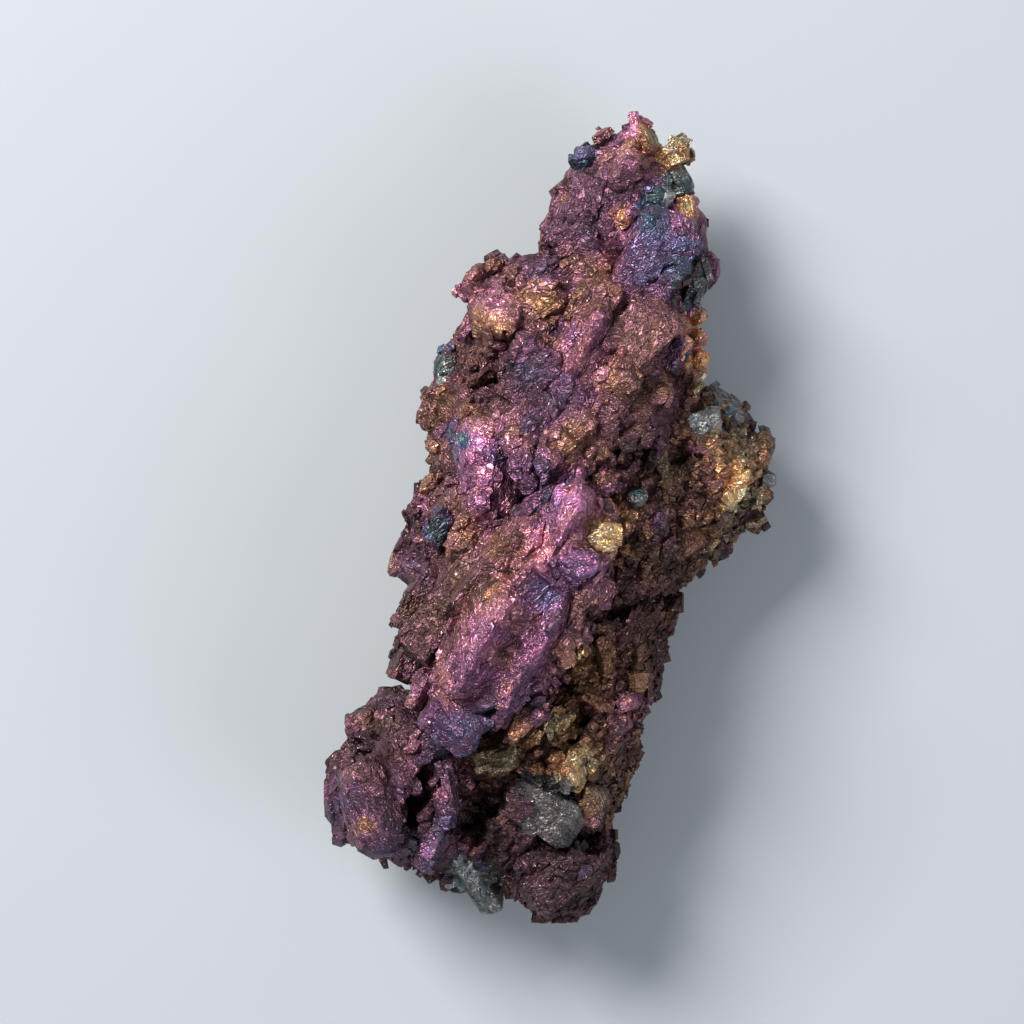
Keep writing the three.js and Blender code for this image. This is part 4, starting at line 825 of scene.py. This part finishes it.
grow_crystals("rubble_crystals", [
    ("lump", -1.2, -13.6, 0.9, 1.7, 1.5, 2.2, 0, 0, 0.2, 0.8),
    ("lump", 0.0, -12.8, 0.9, 1.4, 1.2, 2.0, 40, 0, 0.14, 0.8),
    ("block", -3.4, -14.9, 1.1, 2.6, 1.8, 2.6, 12, 0, 0.06, 0.5),
    ("lump", 1.3, -15.8, 1.1, 2.8, 2.2, 2.8, 80, 0, 0.12, 0.8),
    ("lump", 2.0, -9.0, 1.1, 1.4, 1.2, 2.2, 30, 0, 0.08, 0.9),
    ("prism", 3.3, -8.2, 1.2, 3.0, 1.1, 2.2, 95, 0, 0.18, 0.5),
    ("block", 2.9, -11.3, 1.1, 2.1, 0.7, 1.8, -29, 0, 0.28, 0.7),
    ("block", 4.8, -11.5, 0.9, 1.3, 1.1, 1.8, 20, 0, 0.42, 0.7),
    ("lump", 5.3, -10.0, 0.9, 1.5, 1.3, 2.2, 0, 0, 0.12, 0.7),
    ("block", 4.1, -13.0, 0.9, 1.8, 1.3, 2.2, 65, 0, 0.24, 0.6),
    ("block", 5.6, -6.4, 1.0, 2.6, 1.9, 2.6, 55, 10, 0.4, 0.15),
    ("lump", 7.6, -5.4, 0.6, 1.8, 1.6, 2.6, 0, 0, 0.3, 0.2),
    ("block", -0.5, -18.4, 0.9, 4.8, 2.9, 3.4, -26, -6, 0.98, 0.16),
    ("block", 2.4, -17.8, 0.8, 2.6, 1.9, 2.8, 70, 0, 0.4, 0.12),
    ("block", 0.4, -22.4, 0.7, 4.2, 2.9, 3.4, 42, -6, 0.58, 0.1),
    ("lump", 2.2, -21.6, 0.8, 2.2, 1.8, 2.6, 0, 0, 0.3, 0.2),
    ("block", -1.6, -22.6, 0.8, 2.4, 1.9, 2.8, 65, 0, 0.6, 0.1),
])
set_in_place("spire_crystals", "shoulder_crystals", "lobe_crystals", "ridge_crystals",
             "haunch_crystals", "rubble_crystals")

# The lumps of the underside and the small chips that grew all over the rind.
UNDERSIDE = [
    ("lump", -7.4, -14.4, 3.4, 5.2, 4.2, 3.6, 30), ("block", -1.8, -17.0, 2.6, 4.6, 3.4, 3.4, 62),
    ("block", 4.6, -9.6, 3.2, 5.2, 3.0, 3.6, 76), ("block", 5.8, 6.2, 2.8, 5.4, 3.6, 3.8, 22),
    ("lump", -4.8, 8.4, 2.8, 4.8, 3.8, 3.6, 50), ("block", -6.2, -5.0, 3.0, 5.4, 3.2, 3.8, 96),
    ("lump", 1.4, 12.4, 2.8, 5.2, 4.2, 3.6, 12), ("block", 6.4, 14.6, 3.6, 4.4, 3.2, 3.4, 50),
    ("lump", 0.6, -21.2, 2.6, 3.8, 3.4, 3.2, 0), ("block", 4.8, 20.0, 4.0, 4.4, 3.2, 3.0, 72),
    ("block", 9.6, 1.8, 2.8, 4.4, 3.2, 3.2, 48), ("lump", 5.4, -1.6, 2.6, 4.4, 3.8, 3.8, 80),
]
UNDERSIDE_SEED, CHIP_SEED = 600, 900
CHIP_COUNT = 86
CHIP_SMALL, CHIP_LARGE = 0.9, 2.1
CHIP_TIP = 120  # spread of the ways that the chips point, in degrees
CHIP_SUNK = 0.15  # share of a chip's size that lies below the skin
for seed, (shape, x, y, z, length, width, height, turn) in enumerate(UNDERSIDE):
    grow_crystal("underside_lumps", shape, seed + UNDERSIDE_SEED, (length, width, height), turn, 0,
                 (x, y, z), 0.3 + 0.3 * chance(seed, 30), 0.2, lean=(0, 0, -0.3), cells=12)
for seed in range(1, CHIP_COUNT + 1):
    mass = list(MASSES)[int(chance(seed, 21) * len(MASSES))]
    middle = mass_middle(MASSES[mass])
    rise, spin = 1.5 * chance(seed, 22) - 1, 2 * math.pi * chance(seed, 23)
    flat = math.sqrt(1 - rise * rise)
    way = np.array([flat * math.cos(spin), flat * math.sin(spin), rise])
    normals, distances = mass_faces[mass]
    facing = normals @ way
    reach = np.min(((distances - normals @ middle) / facing)[facing > TINY])
    size = CHIP_SMALL + (CHIP_LARGE - CHIP_SMALL) * chance(seed, 24) ** 2
    grow_crystal("rind_chips", "chip", seed + CHIP_SEED, (1.3 * size, size, 0.9 * size),
                 360 * chance(seed, 26), CHIP_TIP * (chance(seed, 27) - 0.5),
                 middle + way * (reach - CHIP_SUNK * size),
                 0.28 + 0.3 * chance(seed, 28), 0.1 + 0.25 * chance(seed, 29), cells=5)
set_in_place("underside_lumps", "rind_chips")

# The outermost skin: thousands of thin cleaved flakes, each a crooked six-sided scale about
# half a millimetre across that lies along the growth and lifts at one edge. Where the mass is
# gritty they stand up every way like broken slate.
FLAKES = 11500
FLAKE_SIZES = (0.34, 1.15)
FLAKE_SIDES = 6
THROWS = 9 * FLAKES  # places tried, since many are inside other forms or down a pit
spots, ways, areas, tints, homes = [], [], [], [], []
for points, quads, tones, _ in (shell for group in shells.values() for shell in group):
    a, b, c, d = (points[quads[:, k]] for k in range(4))
    normal = np.cross(c - a, d - b)
    area = np.linalg.norm(normal, axis=1)
    spots.append((a + c) / 2)
    ways.append(normal / np.maximum(area, 1e-9)[:, None])
    areas.append(area)
    tints.append(tones[quads[:, 0]])
    homes.append(np.full(len(quads), len(homes)))
spots, ways, areas, tints, homes = (
    np.concatenate(part) for part in (spots, ways, areas, tints, homes))
crowding = areas * np.clip(0.12 + 3 * np.array([grit for _, grit in ledges]), 0, 1)[homes]
picked = dice.choice(len(spots), THROWS, p=crowding / crowding.sum())
# No flake lies where the painted shade is deep, as down a pit.
open_air = (tints[picked, 2] < 0.7 + PAINTED_UNDER_SHADE) & (spots[picked, 2] > 0.3)
for number, (normals, distances, middle, back) in enumerate(forms):
    local = (spots[picked] + 0.1 * ways[picked] - middle) @ back
    open_air &= ((local @ normals.T) > distances - 0.02).any(1) | (homes[picked] == number)
picked = picked[open_air][:FLAKES]
axis = np.array([axis for axis, _ in ledges])[homes[picked]]
grit = np.array([grit for _, grit in ledges])[homes[picked]]
size = FLAKE_SIZES[0] + (FLAKE_SIZES[1] - FLAKE_SIZES[0]) * dice.random(len(picked)) ** 1.8
size *= 1.1 - 0.3 * grit
up = ways[picked] + (0.05 + 0.5 * grit)[:, None] * dice.normal(size=(len(picked), 3))
up /= np.linalg.norm(up, axis=1, keepdims=True)
across = np.cross(up, axis + 0.3 * dice.normal(size=(len(picked), 3)))
across /= np.linalg.norm(across, axis=1, keepdims=True)
along = np.cross(across, up)
angle = np.arange(FLAKE_SIDES) + dice.uniform(-0.32, 0.32, (len(picked), FLAKE_SIDES))
angle = (angle * 2 * math.pi / FLAKE_SIDES)[..., None]
reach = (dice.uniform(0.7, 1.2, (len(picked), FLAKE_SIDES)) * size[:, None] / 2)[..., None]
flat = 1.4 * np.cos(angle) * reach * along[:, None] + np.sin(angle) * reach * across[:, None]
fold = np.array([1, 0, 0, 1, 0, 0]) * dice.uniform(-0.5, 0.9, (len(picked), 1))
lift = size[:, None] * dice.uniform(0.01, 0.08, (len(picked), 1)) * (1 + fold)
lift = lift * (1 + 4 * grit[:, None])
upper = spots[picked][:, None] + 0.88 * flat + lift[..., None] * up[:, None]
lower = spots[picked][:, None] + flat - (0.3 * size)[:, None, None] * up[:, None]
inside = 0.1 * dice.random((len(picked), 1, 1))
corners = np.clip(np.concatenate([upper, lower], 1), LOWEST + inside, HIGHEST - inside)
FLAKE_CORNERS = 2 * FLAKE_SIDES
FLAKE_FACES = [(0, 1, 2, 3), (0, 3, 4, 5), (9, 8, 7, 6), (11, 10, 9, 6)]
FLAKE_FACES += [
    (6 + k, 6 + (k + 1) % FLAKE_SIDES, (k + 1) % FLAKE_SIDES, k) for k in range(FLAKE_SIDES)]
tones = tints[picked]
tones[:, 0] += 0.025 * dice.normal(size=len(picked))
tones[:, 1] = np.clip(tones[:, 1] * dice.uniform(0.6, 1.4, len(picked)), 0, BRIGHTEST)
# A flake keeps six tenths of the painted shade of the skin it lies on, without the painted shade under
# flakes.
tones[:, 2] = 0.6 * np.clip(tones[:, 2] - PAINTED_UNDER_SHADE, 0, 1)
spire_side = spots[picked][:, 1] > 0
for piece, chosen in (("spire_side_flakes", spire_side), ("foot_side_flakes", ~spire_side)):
    starts = FLAKE_CORNERS * np.arange(chosen.sum())[:, None, None]
    quads = (np.array(FLAKE_FACES)[None] + starts).reshape(-1, 4)
    points = corners[chosen].reshape(-1, 3)
    shells[piece] = [(points, quads, np.repeat(tones[chosen], FLAKE_CORNERS, axis=0), points)]
set_in_place("spire_side_flakes", "foot_side_flakes")

# The plain pale table that the specimen lies on, and soft studio light from the upper left.
# The camera looks straight down, as the photo looks at the ridge side.
FIELD = 0.064  # width of the view at the height of the rind
VIEW_HEIGHT = 0.25
RIND_HEIGHT = 0.009
table_mesh = bpy.data.meshes.new("table")
table_mesh.from_pydata([(-2, -2, 0), (2, -2, 0), (2, 2, 0), (-2, 2, 0)], [], [(0, 1, 2, 3)])
table = bpy.data.objects.new("table", table_mesh)
bpy.context.scene.collection.objects.link(table)
paper = bpy.data.materials.new("pale_table")
paper.use_nodes = True
paper.node_tree.nodes["Principled BSDF"].inputs["Base Color"].default_value = (0.42, 0.45, 0.48, 1)
paper.node_tree.nodes["Principled BSDF"].inputs["Roughness"].default_value = 0.8
table_mesh.materials.append(paper)


def softbox(name, place, width, power, colour):
    """A square light that looks at the specimen's middle."""
    lamp = bpy.data.lights.new(name, "AREA")
    lamp.size = width
    lamp.energy = power
    lamp.color = colour
    box = bpy.data.objects.new(name, lamp)
    box.location = place
    aim = -np.array(place) / np.linalg.norm(place)
    box.rotation_euler = (math.acos(-aim[2]), 0, math.atan2(-aim[0], aim[1]))
    bpy.context.scene.collection.objects.link(box)


softbox("key_light", (-0.24, 0.23, 0.31), 0.20, 3.4, (1.0, 0.98, 0.95))
softbox("fill_light", (0.30, -0.16, 0.25), 0.25, 0.7, (0.92, 0.95, 1.0))
world = bpy.data.worlds.new("studio")
world.use_nodes = True
world.node_tree.nodes["Background"].inputs["Color"].default_value = (0.80, 0.84, 0.90, 1)
world.node_tree.nodes["Background"].inputs["Strength"].default_value = 0.36
bpy.context.scene.world = world
bpy.context.scene.view_settings.view_transform = "Standard"
lens = bpy.data.cameras.new("camera")
lens.sensor_width = 36.0
lens.lens = lens.sensor_width * (VIEW_HEIGHT - RIND_HEIGHT) / FIELD
lens.clip_start = 0.01
camera = bpy.data.objects.new("camera", lens)
camera.location = (-0.0024, 0.0004, VIEW_HEIGHT)
bpy.context.scene.collection.objects.link(camera)
bpy.context.scene.camera = camera
